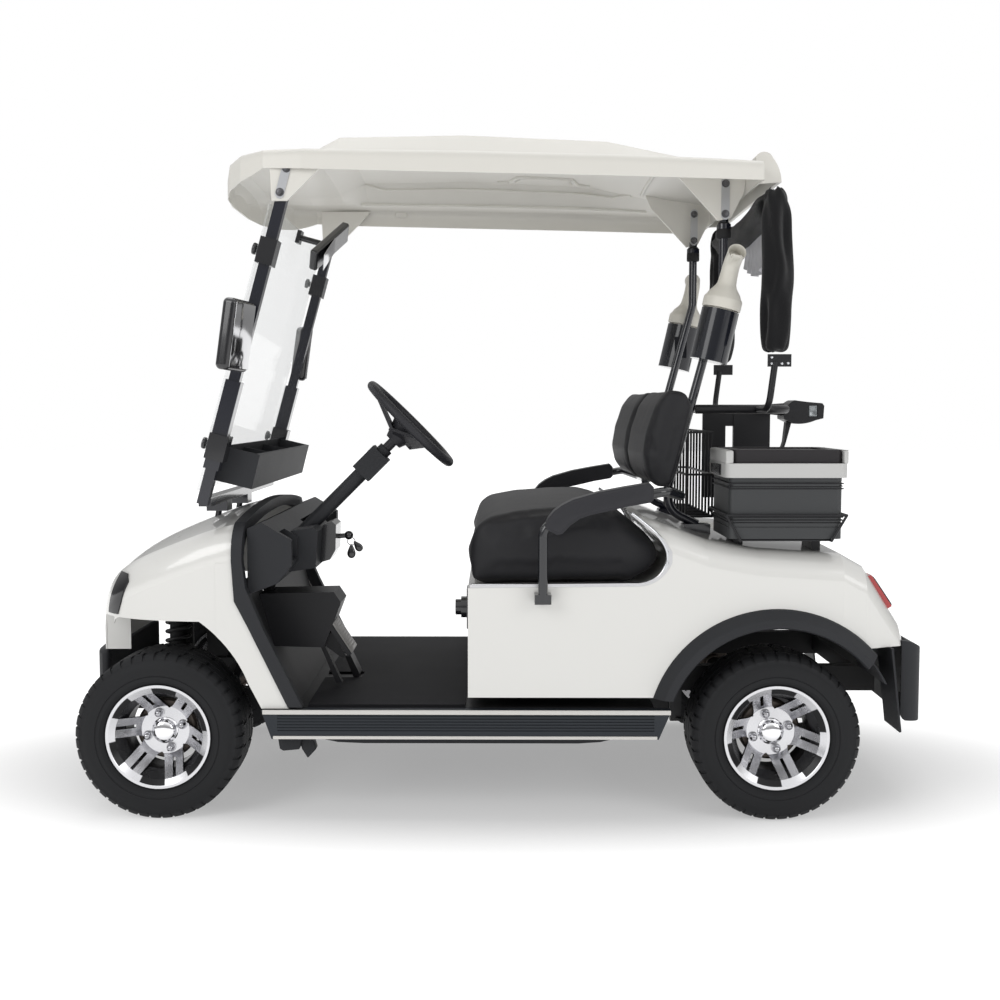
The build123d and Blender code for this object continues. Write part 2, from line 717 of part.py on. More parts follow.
# ---------------------------------------------------------------- rear body
def body_section(x, half, top, wall):
    w = half - wall
    t = top - wall
    r = min(70.0, (t - 340.0) * 0.5)
    low = 336.0
    return cross_face(x, (-w, low), [
        (-w, t - r - 6), ((-w + r * 0.3, t - r * 0.3 - 6), (-w + r, t - 6)), ((0.0, t), (w - r, t - 6)),
        ((w - r * 0.3, t - r * 0.3 - 6), (w, t - r - 6)), (w, low)])


def body_loft(wall):
    stations = (
        # x, half width, top of the deck
        (-82.0, body_half_width, 832.0),
        (390.0, body_half_width, 830.0),
        (563.0, body_half_width, 766.0),
        (700.0, body_half_width, 742.0),
        (rear_x - 259, body_half_width, 728.0),
        (rear_x - 195, body_half_width - 10, 692.0),
        (rear_x - 88, body_half_width - 58, 541.0),
        (rear_x - 63, body_half_width - 80, 470.0),
    )
    faces = []
    for k, (x, half, top) in enumerate(stations):
        step = wall if k == 0 else (-wall if k == len(stations) - 1 else 0.0)
        faces.append(body_section(x + step, half, top, wall))
    return loft(faces, ruled=True)


def seat_space(offset):
    """Room for the seat, cut out of the rear body; offset moves its edge inwards."""
    o = offset
    return side_prism(
        (-200.0, 632.0 + o),
        [(378.0, 638.0 + o), ((436.0 - 0.7 * o, 661.0 + 0.7 * o), (465.0 - o, 702.0)), (465.0 - o, 731.0),
         (446.0 - o, 763.0), (357.0 - o, 835.0), (357.0 - o, 900.0), (-200.0, 900.0)], -700, 700)


def rear_body():
    """Body shell from the seat front to the tail with its seat recess and wheel openings."""
    whole = body_loft(0.0)
    shell = whole - body_loft(body_wall) - seat_space(0.0)
    panel = (seat_space(-body_wall) - seat_space(0.0)) & whole
    panel = panel - block(0.0, 350.0, -420.0, 420.0, 600.0, 645.0)
    wheel_room = rod((rear_axle_x, -700, tyre_radius), (rear_axle_x, 700, tyre_radius), 330.0)
    wheel_room = wheel_room - block(0, 1400, -rear_panel_y, rear_panel_y, 0, 700)
    tail_low = block(rear_axle_x + 60, 1300, -700, 700, 100, 468.0)
    well_from, well_y, well_z = bag_well
    well = block(well_from, 1300, -well_y, well_y, well_z, 900)
    w = body_wall
    lining = (block(well_from - w, 1300, -well_y - w, well_y + w, well_z - w, 900) & whole) - well
    return [(shell + panel - wheel_room - tail_low - well) + lining]


def wheel_arch_flares():
    """Rounded black lips over the rear wheel openings."""
    solids = []
    for name, side in sides:
        base = body_half_width + seat_gap
        profile = [(350.0, base), (346.0, base + 8), (325.0, base + 34), (305.0, base + 44),
                   (301.0, base + 36), (303.0, base)]
        points = [(rear_axle_x, side * y, tyre_radius + r) for r, y in profile]
        face = make_face(Polyline(*points, close=True))
        axis = Axis((rear_axle_x, 0, tyre_radius), (0, 1, 0))
        band = revolve(face.rotate(axis, -75.0), axis=axis, revolution_arc=125.0)
        solids.append(band - block(0, 1300, -700, 700, 0, floor_top + 26))
    return solids


def wheel_liners():
    """Inner housings of the rear wheels and the mud flaps behind them."""
    solids = []
    for name, side in sides:
        y_low, y_high = across_span(side, 302.0, body_half_width)
        ring = rod((rear_axle_x, y_low, tyre_radius), (rear_axle_x, y_high, tyre_radius), 330.0 - seat_gap)
        room = rod((rear_axle_x, y_low - 9, tyre_radius), (rear_axle_x, y_high + 9, tyre_radius), 325.0)
        keep = block(rear_axle_x - 340, rear_axle_x + 340, -700, 700, rear_rail_top + seat_gap, 600.0)
        solids.append((ring - room) & keep)
        y_span = across_span(side, body_half_width - 156, body_half_width - 16)
        x = rear_axle_x + 310
        flap = side_prism((x, 467.7), [(x + 6, 467.7), (x + 32, 240.0), (x + 27, 238.0)], *y_span)
        solids.append(flap)
    return solids


def rear_bumper():
    """Moulded bumper with rounded ends wrapped round the tail."""
    end_y = body_half_width - 56
    x = rear_x - 85
    plan = plan_prism(
        (x, -end_y),
        [((x + 40, -end_y + 8), (x + 64, -end_y + 50)), ((rear_x, 0.0), (x + 64, end_y - 50)),
         ((x + 40, end_y - 8), (x, end_y)), (x, end_y - 20), (x + 20, end_y - 26),
         ((rear_x - 50, 0.0), (x + 20, -end_y + 26)), (x, -end_y + 20)],
        258.0, 482.0)
    profile = side_prism(
        (x - 10, 300.0),
        [(x + 12, 262.0), (x + 50, 258.0), ((x + 78, 268.0), (x + 86, 310.0)), (x + 200, 330.0),
         (x + 200, 400.0), (x + 86, 426.0), ((x + 60, 460.0), (x + 4, 482.0)), (x - 10, 482.0)], -700, 700)
    return [(plan & profile) - body_loft(-seat_gap)]


def tail_lamps():
    solids = []
    for name, side in sides:
        y_span = across_span(side, body_half_width - 156, body_half_width - 80)
        x = rear_x - 177
        lens = side_prism((x, 656.0), [(x + 12, 660.0), (x + 70, 574.0), (x + 58, 566.0)], *y_span)
        solids.append((lens - body_loft(-seat_gap)).solids()[0])
    return solids


# ---------------------------------------------------------------- seat
def padded_solid(outline, y_low, y_high, round_by):
    """Cushion: a side outline, drawn in towards its middle at both ends."""
    cx = sum(p[0] for p in outline) / len(outline)
    cz = sum(p[1] for p in outline) / len(outline)
    faces = []
    steps = ((y_low, round_by), (y_low + round_by, 0.0), (y_high - round_by, 0.0), (y_high, round_by))
    for y, shrink in steps:
        points = []
        for x, z in outline:
            reach = hypot(x - cx, z - cz)
            k = (reach - shrink) / reach
            points.append((cx + (x - cx) * k, y, cz + (z - cz) * k))
        faces.append(make_face(Polyline(*points, close=True)))
    return loft(faces, ruled=True)


def seat_cushion():
    floor = seat_floor
    outline = [
        (seat_front_x, floor - 4.5), (seat_front_x - 3, 703.0), (seat_front_x + 3, 788.0),
        (seat_front_x + 26, 813.0), (59.0, 832.0), (275.0, 843.0), (336.0, 829.0), (seat_rear_x - 8, 748.0), (seat_rear_x + 4, 728.0),
        (seat_rear_x + 4, 704.0), (424.0, 664.0), (376.0, floor + 0.3)]
    return [padded_solid(outline, -seat_half_width, seat_half_width, 26.0)]


def seat_backs():
    rear = rear_post_radius + 0.8
    outline = [
        (470.0, 1178.0), (425.0, 1110.0), (398.0, 1030.0), (393.0, 970.0), (412.0, 915.0), (442.0, 888.0),
        (rear_post_x(900.0) - rear - 4, 893.0), (rear_post_x(905.0) - rear, 905.0),
        (rear_post_x(1130.0) - rear, 1130.0), (518.0, 1166.0)]
    pads = []
    for name, side in sides:
        y_low, y_high = across_span(side, 24.0, seat_half_width - 15)
        pads.append(padded_solid(outline, y_low, y_high, 30.0))
    return pads


def seat_trim():
    """Bright edging round the seat's recess."""
    band = seat_space(seat_gap) - seat_space(9.0)
    keep = block(-77.0, 480.0, -body_half_width, body_half_width, 620.0, 828.0)
    middle = block(-200.0, 470.0, -seat_half_width - 6, seat_half_width + 6, 620.0, 900.0)
    return [s for s in ((band & keep) - middle).solids()]


def armrests():
    """Bent tube from the seat base up and back to the rear post."""
    solids = []
    y = body_half_width + armrest_out
    for name, side in sides:
        route = [
            (118.0, y, 606.0), (118.0, y, 800.0), (290.0, y, 866.0), (440.0, y, 896.0),
            (494.0, y - 95, 878.0), (494.0, rear_post_y + rear_post_radius + seat_gap, 878.0)]
        arm = tube([on_side(p, side) for p in route], 13.0, 34.0)
        foot = block(96.0, 140.0, *across_span(side, body_half_width + seat_gap, y + 10), 596.0, 622.0)
        solids.append(arm + foot)
    return solids


def armrest_pads():
    pads = []
    for name, side in sides:
        y = body_half_width + armrest_out
        y_low, y_high = across_span(side, y - 29, y + 29)
        pad = side_prism(
            (121.0, 806.0),
            [((146.0, 846.0), (196.0, 876.0)), (262.0, 895.0), (396.0, 919.0), (406.0, 868.0), (290.0, 846.0),
             ((214.0, 826.0), (168.0, 786.0)), (140.0, 790.0)], y_low, y_high)
        route = [(118.0, y, 606.0), (118.0, y, 800.0), (290.0, y, 866.0), (440.0, y, 896.0)]
        bore = tube([on_side(p, side) for p in route], 13.0 + seat_gap, 34.0)
        pads.append((pad - bore).solids()[0])
    return pads


# ---------------------------------------------------------------- posts, windscreen and roof
def rear_posts():
    posts = []
    for name, side in sides:
        route = [(638.0, rear_post_y, 1655.0), (638.0, rear_post_y, 1452.0), (487.0, rear_post_y, 885.0),
                 (492.0, rear_post_y, 820.0), (572.0, rear_post_y, 782.0)]
        post = tube([on_side(p, side) for p in route], rear_post_radius, 60.0)
        plate = block(530.0, 606.0, *across_span(side, rear_post_y - 28, rear_post_y + 28), 740.0, 784.0)
        low, high = (638.0, rear_post_y, 1600.0), (638.0, rear_post_y, 1634.0)
        collar = rod(on_side(low, side), on_side(high, side), 20.0)
        posts.append(post + plate + collar - body_loft(-seat_gap))
    return posts


def rear_post_x(z):
    """X of a rear post's centre line, on its long lean, at height z."""
    return 487.0 + (z - 885.0) * 151.0 / 567.0


def post_point(z):
    """Point of a windscreen post's centre line at height z."""
    (x0, z0), (x1, z1) = post_foot, post_head
    return x0 + (x1 - x0) * (z - z0) / (z1 - z0)


def windscreen_posts():
    solids = []
    for name, side in sides:
        y = side * post_half_track
        foot = (post_foot[0], y, post_foot[1])
        head = (post_head[0], y, post_head[1])
        post = beam(foot, head, post_size, post_size)
        low = (post_point(950.0), y, 950.0)
        high = (post_point(1188.0), y, 1188.0)
        sleeve = beam(low, high, 42.0, 42.0)
        solids.append(post + sleeve)
    bar = block(post_foot[0] - 12, post_foot[0] + 22, -post_half_track, post_half_track, 848.0, 872.0)
    feet = []
    for name, side in sides:
        y_box = across_span(side, 122.0, 192.0)
        feet.append(block(-862.0, -800.0, *y_box, 812.0, 850.0))
        feet.append(rod((-838.0, side * 157.0, 780.0), (-832.0, side * 157.0, 814.0), 9.0))
    frame = solids[0] + solids[1] + bar
    for piece in feet:
        frame = frame + piece
    return [frame - cowl_loft(-seat_gap)]


def along_post(z_low, z_high, offset, thick, y_low, y_high):
    """Slab parallel to the posts, offset forwards from their centre line."""
    (x0, z0), (x1, z1) = post_foot, post_head
    length = hypot(x1 - x0, z1 - z0)
    nx, nz = -(z1 - z0) / length, (x1 - x0) / length
    a = (post_point(z_low) + nx * offset, z_low + nz * offset)
    b = (post_point(z_high) + nx * offset, z_high + nz * offset)
    c = (b[0] + nx * thick, b[1] + nz * thick)
    d = (a[0] + nx * thick, a[1] + nz * thick)
    return side_prism(a, [b, c, d], y_low, y_high)


def windscreen():
    """Folding clear screen: lower and upper panes with the hinge strip between them."""
    start = 42.0 / 2 + glass_gap
    half = post_half_track + 8
    lower = along_post(884.0, 1262.0, start, glass_thickness, -half, half)
    upper = along_post(1266.0, 1652.0, start, glass_thickness, -half, half)
    hinge = along_post(1246.0, 1282.0, start + glass_thickness, 3.0, -half, half)
    return [lower + upper + hinge]


def windscreen_clamps():
    """Brackets round the posts that the panes are bolted to."""
    clamps = []
    for name, side in sides:
        y = side * post_half_track
        for z, inner in ((1532.0, post_size), (1010.0, 42.0)):
            front = 42.0 / 2 + glass_gap - seat_gap
            y_span = across_span(side, post_half_track - 31, post_half_track + 29)
            ring = along_post(z - 34, z + 34, -inner / 2 - 7, front + inner / 2 + 7, *y_span)
            hole = beam((post_point(z - 90), y, z - 90), (post_point(z + 90), y, z + 90),
                        inner + 2 * seat_gap, inner + 2 * seat_gap)
            clamps.append(ring - hole)
    return clamps


def storage_tray():
    """Open tray with partitions, hung behind the posts."""
    half = post_half_track - 31 - seat_gap
    body = side_prism((-755.0, 1012.0), [(-652.0, 988.0), (-676.0, 893.0), (-777.0, 918.0)], -half, half)
    room = side_prism((-748.0, 1030.0), [(-657.0, 1010.0), (-679.0, 903.0), (-769.0, 926.0)],
                      -half + 4, half - 4)
    tray = body - room
    for y in (-160.0, 160.0):
        tray = tray + side_prism((-753.0, 1000.0), [(-655.0, 980.0), (-676.0, 898.0), (-774.0, 920.0)],
                                 y - 2, y + 2)
    return [tray]


def side_mirrors():
    solids = []
    for name, side in sides:
        place = Pos(-692.0, side * (post_half_track + 80.4), 1306.0) * Rot(0, 8, side * 18)
        shell = place * Box(40.0, 118.0, 188.0)
        shell = fillet(shell.edges().filter_by(GeomType.LINE), 14.0)
        stalk = rod((-703.0, side * (post_half_track + 18), 1225.0),
                    (-698.0, side * (post_half_track + 62.4), 1240.0), 8.0)
        solids.append(shell + stalk)
    return solids


def cabin_mirror():
    axis_long = Vector(-49, -240, -148).normalized()
    face_dir = Vector(0.93, -0.19, -0.30)
    plane = Plane(origin=(-516.0, 0.0, 1610.0), x_dir=axis_long, z_dir=face_dir)
    shell = fillet((plane * Box(236.0, 66.0, 26.0)).edges().filter_by(GeomType.LINE), 8.0)
    arm = rod((-524.0, 0.0, 1612.0), (-604.0, 0.0, 1634.0), 9.0)
    foot = along_post(1612.0, 1650.0, 42.0 / 2 + glass_gap - seat_gap - 12, 12.0, -24.0, 24.0)
    return [shell + arm + foot]


def roof_section(x, half, top, crown, wall, low):
    w = half - wall
    t = top - wall
    c = crown - wall
    r = 24.0
    flat = w * 0.80
    edge = w * 0.66
    return cross_face(x, (-w, low), [
        (-w, t - r), ((-w + r * 0.3, t - r * 0.3), (-w + r, t)), (-flat, t + 3), (-edge, c), ((0.0, c + 8), (edge, c)),
        (flat, t + 3), (w - r, t), ((w - r * 0.3, t - r * 0.3), (w, t - r)), (w, low)])


def roof_loft(wall):
    stations = (
        # x, half width, side top, crown top
        (-788.0, roof_half_width - 420, 1752.0, 1756.0),
        (-772.0, roof_half_width - 278, 1774.0, 1782.0),
        (-742.0, roof_half_width - 156, 1787.0, 1798.0),
        (-694.0, roof_half_width - 66, 1795.0, 1808.0),
        (-624.0, roof_half_width - 12, 1799.0, 1813.0),
        (-520.0, roof_half_width, 1801.0, 1820.0),
        (-440.0, roof_half_width, 1800.0, 1862.0),
        (-100.0, roof_half_width, 1795.0, 1868.0),
        (300.0, roof_half_width, 1785.0, 1850.0),
        (560.0, roof_half_width - 2, 1775.0, 1796.0),
        (700.0, roof_half_width - 6, 1768.0, 1776.0),
    )
    low = 1600.0 - wall
    faces = []
    for k, (x, half, top, crown) in enumerate(stations):
        step = wall if k == 0 else (-wall if k == len(stations) - 1 else 0.0)
        faces.append(roof_section(x + step, half, top, crown, wall, low))
    return loft(faces, ruled=True)


def roof():
    """Moulded canopy: crowned top, side skirts, drooping front visor and four gussets."""
    shell = roof_loft(0.0) - roof_loft(roof_wall)
    below = side_prism(
        (-900.0, 1500.0),
        [(-900.0, 1708.0), (-788.0, 1708.0), ((-720.0, 1716.0), (-624.0, 1749.0)), (-476.0, 1744.0),
         (266.0, 1727.0), (800.0, 1712.0), (800.0, 1500.0)], -700, 700)
    shell = shell - below
    roll = side_prism(
        (698.0, 1722.0), [(698.0, 1796.0), ((722.0, 1808.0), (744.0, 1792.0)), ((760.0, 1765.0), (768.0, 1726.0))],
        110 - roof_half_width, roof_half_width - 110)
    groove = side_prism((704.0, 1716.0), [(704.0, 1790.0), ((722.0, 1800.0), (740.0, 1786.0)), (760.0, 1716.0)],
                        116 - roof_half_width, roof_half_width - 116)
    canopy = shell + (roll - groove)
    for name, side in sides:
        face_y = post_half_track + post_size / 2
        front_y = across_span(side, face_y + seat_gap, face_y + 10)
        canopy = canopy + side_prism((-603.0, 1664.0), [(-608.0, 1790.0), (-440.0, 1790.0), (-471.0, 1753.0),
                                                        (-562.0, 1664.0)], *front_y)
        rear_y = across_span(side, rear_post_y + rear_post_radius + seat_gap, rear_post_y + rear_post_radius + 9)
        canopy = canopy + side_prism((502.0, 1766.0), [(480.0, 1815.0), (700.0, 1790.0), (690.0, 1720.0),
                                                       (655.0, 1650.0), (618.0, 1641.0)], *rear_y)
    return [s for s in canopy.solids()]


# ---------------------------------------------------------------- fittings behind the seat
def bottle_axis(side):
    y = rear_post_y + rear_post_radius + 4 + 54
    return Plane(origin=(588.0, side * y, 1246.0), x_dir=(0, 1, 0), z_dir=(0.226, 0, 1))


def bottle_holders():
    solids = []
    for name, side in sides:
        plane = bottle_axis(side)
        cup = plane * Pos(0, 0, 72) * Cylinder(52.0, 144.0)
        room = plane * Pos(0, 0, 80) * Cylinder(49.0, 148.0)
        y_pad = across_span(side, rear_post_y + rear_post_radius + seat_gap, rear_post_y + rear_post_radius + 16)
        pad = block(584.0, 622.0, *y_pad, 1280.0, 1350.0)
        solids.append(cup + pad - room)
    return solids


def sand_bottles():
    solids = []
    for name, side in sides:
        plane = bottle_axis(side)
        profile = Polyline((0, 0, 7), (47, 0, 7), (47, 0, 146), (53, 0, 150), (53, 0, 178), (44, 0, 196), (28, 0, 212),
                           (25, 0, 330), (0, 0, 330), close=True)
        solids.append(plane * revolve(make_face(profile), axis=Axis.Z))
    return solids


def bag_rack():
    """Hoop behind the seat backs for two golf bags, with its divider, strap housing and strut."""
    z = rack_height
    y = rear_post_y
    start = rear_post_x(z) + rear_post_radius + 4.6
    hoop = tube([(start, -y, z), (rack_rear_x, -y, z), (rack_rear_x, y, z), (start, y, z)], rack_tube, 90.0)
    front_bar = rod((start + 60, -y, z), (start + 60, y, z), rack_tube - 3)
    middle = rod((start + 60, 0.0, z), (rack_rear_x + 34, 0.0, z), rack_tube - 4)
    divider = block(630.0, 700.0, -6.0, 6.0, 840.0, z) + block(690.0, 730.0, -6.0, 6.0, z - 52, z)
    x = rack_rear_x
    divider = divider + block(724.0, x - 2, -9.0, 9.0, z - 126, z - 12)
    sleeve = side_prism((x - 48, z - 12), [(x - 38, z + 13), (x + 38, z + 18), (x + 38, z - 20)], -20.0, 20.0)
    housing = side_prism(
        (x + 32, z - 30),
        [((x + 38, z + 4), (x + 64, z + 27)), (x + 102, z + 22), (x + 148, z + 18), (x + 154, z + 10),
         (x + 152, z - 28), (x + 128, z - 34), ((x + 92, z - 44), (x + 62, z - 44))], -46.0, 46.0)
    for side in (-1, 1):
        housing = housing - block(x + 106, x + 134, *across_span(side, 42.0, 60.0), z - 24, z + 12)
    tongue = side_prism((x + 46, z - 40), [(x + 62, z - 40), (x + 46, z - 102), (x + 34, z - 140),
                                           (x + 28, z - 138), (x + 40, z - 100)], -16.0, 16.0)
    return [hoop + front_bar + middle + divider + sleeve + housing + tongue]


def wire_basket():
    """Open basket of square wire hung between the rear posts."""
    z0, z1 = 800.0, rack_height - 67
    w = 3.0
    x0, x1 = rear_post_x(z1) + rear_post_radius * 1.035 + 0.8 + w, 622.0
    y = 240.0
    basket = block(x0 - w, x0 + w, -rear_post_y, rear_post_y, z1 - w, z1 + w)
    for z in (z0, (z0 + z1) / 2, z1):
        basket = basket + block(x0 - w, x1 + w, -y - w, y + w, z - w, z + w)
        basket = basket - block(x0 + w, x1 - w, -y + w, y - w, z - w, z + w)
    for k in range(9):
        at = -y + 2 * y * k / 8
        basket = basket + block(x1 - w, x1 + w, at - w, at + w, z0, z1)
        basket = basket + block(x0, x1, at - w, at + w, z0 - w, z0 + w)
        basket = basket + block(x0 - w, x0 + w, at - w, at + w, z0, z1)
    return [basket]


def cooler_body():
    (x0, x1), (y0, y1) = cooler_x, cooler_y
    z0 = cooler_base
    z1 = z0 + cooler_height
    outer = block(x0, x1, y0, y1, z0, z1)
    outer = fillet(outer.edges().filter_by(Axis.Z), 16.0)
    rim_block = block(x0 - 12, x1 + 12, y0 - 12, y1 + 12, z1, z1 + 38)
    rim_block = fillet(rim_block.edges().filter_by(Axis.Z), 22.0)
    cavity = block(x0 + cooler_wall + 40, x1 - cooler_wall, y0 + cooler_wall, y1 - cooler_wall, z0 + 24, z1 + 60)
    body = outer + rim_block - cavity
    for z in (z0 + 30, z0 + 42, z0 + 138, z0 + 150):
        ring = block(x0 - 1, x1 + 1, y0 - 1, y1 + 1, z, z + 4)
        core = block(x0 + 2.5, x1 - 2.5, y0 + 2.5, y1 - 2.5, z, z + 4)
        body = body - (ring - core)
    for x_from, x_to in ((x0 + 24, x0 + 64), (x1 - 64, x1 - 24)):
        body = body + hinge_barrel(x_from, x_to) + block(x_from, x_to, y1, y1 + 10, z1 + 36, hinge_line()[1])
    return [body]


def hinge_line():
    """Y and Z of the cooler lid's hinge, on the rim behind the lid."""
    return cooler_y[1] + 5.0, cooler_base + cooler_height + 38 + 2 * seat_gap + cooler_hinge_radius


def hinge_barrel(x_from, x_to):
    y, z = hinge_line()
    return rod((x_from, y, z), (x_to, y, z), cooler_hinge_radius)


def cooler_lid():
    (x0, x1), (y0, y1) = cooler_x, cooler_y
    z1 = cooler_base + cooler_height + 38 + seat_gap
    lid = fillet(block(x0 + 10, x1 - 2, y0 + 2, y1 - 2, z1, z1 + 36).edges().filter_by(Axis.Z), 14.0)
    dish = fillet(block(x0 + 40, x1 - 32, y0 + 32, y1 - 32, z1 + 32, z1 + 40).edges().filter_by(Axis.Z), 10.0)
    barrel = hinge_barrel(x0 + 66, x1 - 66)
    web = block(x0 + 66, x1 - 66, y1 - 3, y1 + 5, z1 + seat_gap, z1 + 10)
    return [lid - dish + barrel + web]


def cooler_rack():
    """Wire cradle round the cooler's foot on a plate over the deck."""
    (x0, x1), (y0, y1) = cooler_x, cooler_y
    wire = 3.5
    z_low, z_high = cooler_base - wire - seat_gap, cooler_base + 64
    g = wire + 6
    top = [(x0 - g, y0 - g), (x1 + g, y0 - g), (x1 + g, y1 + g), (x0 - g, y1 + g)]
    low = [(x0 + 30, y0 + 14), (x1 - 30, y0 + 14), (x1 - 30, y1 - 14), (x0 + 30, y1 - 14)]
    parts = []
    for k in range(4):
        n = (k + 1) % 4
        parts.append(rod((*top[k], z_high), (*top[n], z_high), wire))
        parts.append(rod((*low[k], z_low), (*low[n], z_low), wire))
    for k in range(4):
        foot = (x0 + 30 if top[k][0] < x0 else x1 - 30, y0 - g if top[k][1] < y0 else y1 + g)
        parts.append(rod((*top[k], z_high), (*foot, z_low), wire))
        parts.append(rod((*foot, z_low), (*low[k], z_low), wire))
    rack = parts[0]
    for p in parts[1:]:
        rack = rack + p
    plate = block(x0 + 26, x1 - 26, y0 + 60, y1 - 30, z_low - 3, z_low + wire)
    feet = [block(x, x + 24, y0 + 90, y1 - 60, 680.0, z_low) for x in (x0 + 30, x1 - 60)]
    stand = plate + feet[0] + feet[1] - body_loft(-seat_gap)
    return [rack + stand]


def cover_frame():
    """Hinge plates and bent bars that carry the bag cover's bow."""
    solids = []
    for name, side in sides:
        root_y = rear_post_y + rack_tube + seat_gap
        route = [(740.0, root_y, rack_height), (740.0, 440.0, rack_height), (756.0, 440.0, rack_height + 128)]
        bar = tube([on_side(p, side) for p in route], 9.0, 40.0)
        plate = block(736.0, 800.0, *across_span(side, 436.0, 442.0), rack_height + 116, rack_height + 150)
        solids.append(bar + plate)
    return solids


def bag_cover():
    low = rack_height + 150 + seat_gap
    sides_cloth = [block(712.0, 808.0, *across_span(side, 392.0, 470.0), low, 1716.0) for name, side in sides]
    roll = block(712.0, 796.0, -400.0, 400.0, 1650.0, 1716.0)
    return [sides_cloth[0] + sides_cloth[1] + roll]


# ---------------------------------------------------------------- write every sub-part
def sub_parts():
    yield "front_suspension", front_suspension() + steering_linkage()
    for name, axle_x, side in corners:
        yield "tyre_" + name, [tyre(axle_x, side)]
        yield "rim_" + name, [rim(axle_x, side)]
        yield "hub_" + name, [hub(axle_x, side)]
    for name, side in sides:
        yield "knuckle_" + name, [knuckle(side)]
    for maker in (
        steering_column, chassis_frame, rear_axle, drive_motor, rear_springs, battery_pack,
        front_cowl, front_bumper, headlamps, cowl_edge_trims, dashboard, key_switch, pedals, floor_pan, floor_mat,
        side_sills, underbody_tray, rear_body, wheel_arch_flares, wheel_liners, rear_bumper, tail_lamps,
        seat_cushion, seat_backs, seat_trim, armrests, armrest_pads, rear_posts, windscreen_posts, windscreen,
        windscreen_clamps, storage_tray, side_mirrors, cabin_mirror, roof, bottle_holders, sand_bottles, bag_rack,
        wire_basket, cooler_body, cooler_lid, cooler_rack, cover_frame, bag_cover,
    ):
        yield maker.__name__, maker()
    yield "steering_wheel", [steering_wheel()]


os.makedirs("parts", exist_ok=True)
centred = Location((-(front_x + rear_x) / 2, 0, 0))
for node, solids in sub_parts():
    export_step(Compound(children=[s.moved(centred) for s in solids]), "parts/" + node + ".step")
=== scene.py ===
# %% [markdown]
# # A golf cart, dressed in Blender
# The solids of the cart come packed as a fixed frame, in metres, with the ground at Z = 0. This file gives each
# of them its finish, and models the pieces that a plain solid can't show, such as tread, upholstery and cloth.

# %% Load the frame
import bpy, bmesh, json, math, random
from mathutils import Matrix, Vector


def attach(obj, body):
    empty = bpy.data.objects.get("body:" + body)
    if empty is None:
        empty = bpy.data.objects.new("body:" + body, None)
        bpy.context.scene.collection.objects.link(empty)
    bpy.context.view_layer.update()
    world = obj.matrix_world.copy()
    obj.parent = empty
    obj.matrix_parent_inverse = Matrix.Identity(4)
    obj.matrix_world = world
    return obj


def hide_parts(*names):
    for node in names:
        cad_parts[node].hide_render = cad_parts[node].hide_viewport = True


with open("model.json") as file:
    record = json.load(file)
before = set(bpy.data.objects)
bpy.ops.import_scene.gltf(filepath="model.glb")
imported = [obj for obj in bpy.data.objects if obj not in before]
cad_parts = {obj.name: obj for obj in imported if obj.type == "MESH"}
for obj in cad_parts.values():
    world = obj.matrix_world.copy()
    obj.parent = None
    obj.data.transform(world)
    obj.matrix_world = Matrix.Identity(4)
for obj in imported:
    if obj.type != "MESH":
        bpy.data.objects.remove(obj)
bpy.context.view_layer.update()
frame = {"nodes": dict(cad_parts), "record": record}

node = frame["nodes"]
sides = (-1, 1)        # left and right of the cart, along Y

# %% [markdown]
# ## Camera
# The cart is seen square on from its left side, a little above seat height, from about four metres away. A lens of
# 46.6 mm on a 36 mm wide sensor takes in its whole length. The camera only looks down by four degrees, so upright
# posts stay nearly upright, and a small sideways shift puts the cart in the middle of the picture.

# %% Camera
def add_camera(place, down, turn, lens, shift):
    data = bpy.data.cameras.new("side_camera")
    data.lens = lens
    data.sensor_width = 36.0
    data.shift_x = shift
    cam = bpy.data.objects.new("side_camera", data)
    cam.location = place
    cam.rotation_euler = (math.radians(90.0 - down), 0.0, math.radians(turn))
    bpy.context.scene.collection.objects.link(cam)
    bpy.context.scene.camera = cam

add_camera((-0.008, -4.0, 1.1136), down=4.04, turn=0.42, lens=46.59, shift=0.014)

# %% [markdown]
# ## Nodes
# Every material, the floor and the sky are small node trees. One helper adds a node, sets it up, and gives each of
# its inputs a constant or a link, so a tree reads from its sources to its output.

# %% Node helper
def add_node(tree, kind, inputs=(), **settings):
    """Adds a node; inputs pairs each socket's name or number with a constant or with a socket to link from."""
    made = tree.nodes.new("ShaderNode" + kind)
    for key, value in settings.items():
        setattr(made, key, value)
    for key, value in dict(inputs).items():
        if isinstance(value, bpy.types.NodeSocket):
            tree.links.new(value, made.inputs[key])
        else:
            made.inputs[key].default_value = value
    return made

# %% [markdown]
# ## Floor and light
# A studio sweep is a wide pale floor that never ends in a visible corner. In an oval round the cart it is mostly
# plain matte, so it takes a soft shadow, and further out it turns into even white light, which hides where it ends.
# Two large soft lamps stand at the sides and one hangs above.

# %% Floor
oval_squeeze = (0.75, 1.6, 1.0)      # stretches distances along Y, so the matte part is longer than it is wide
matte_to, glow_from = 0.85, 1.8      # squeezed distances where the matte part starts to fade and where it is gone
least_glow, glow_strength = 0.26, 1.3

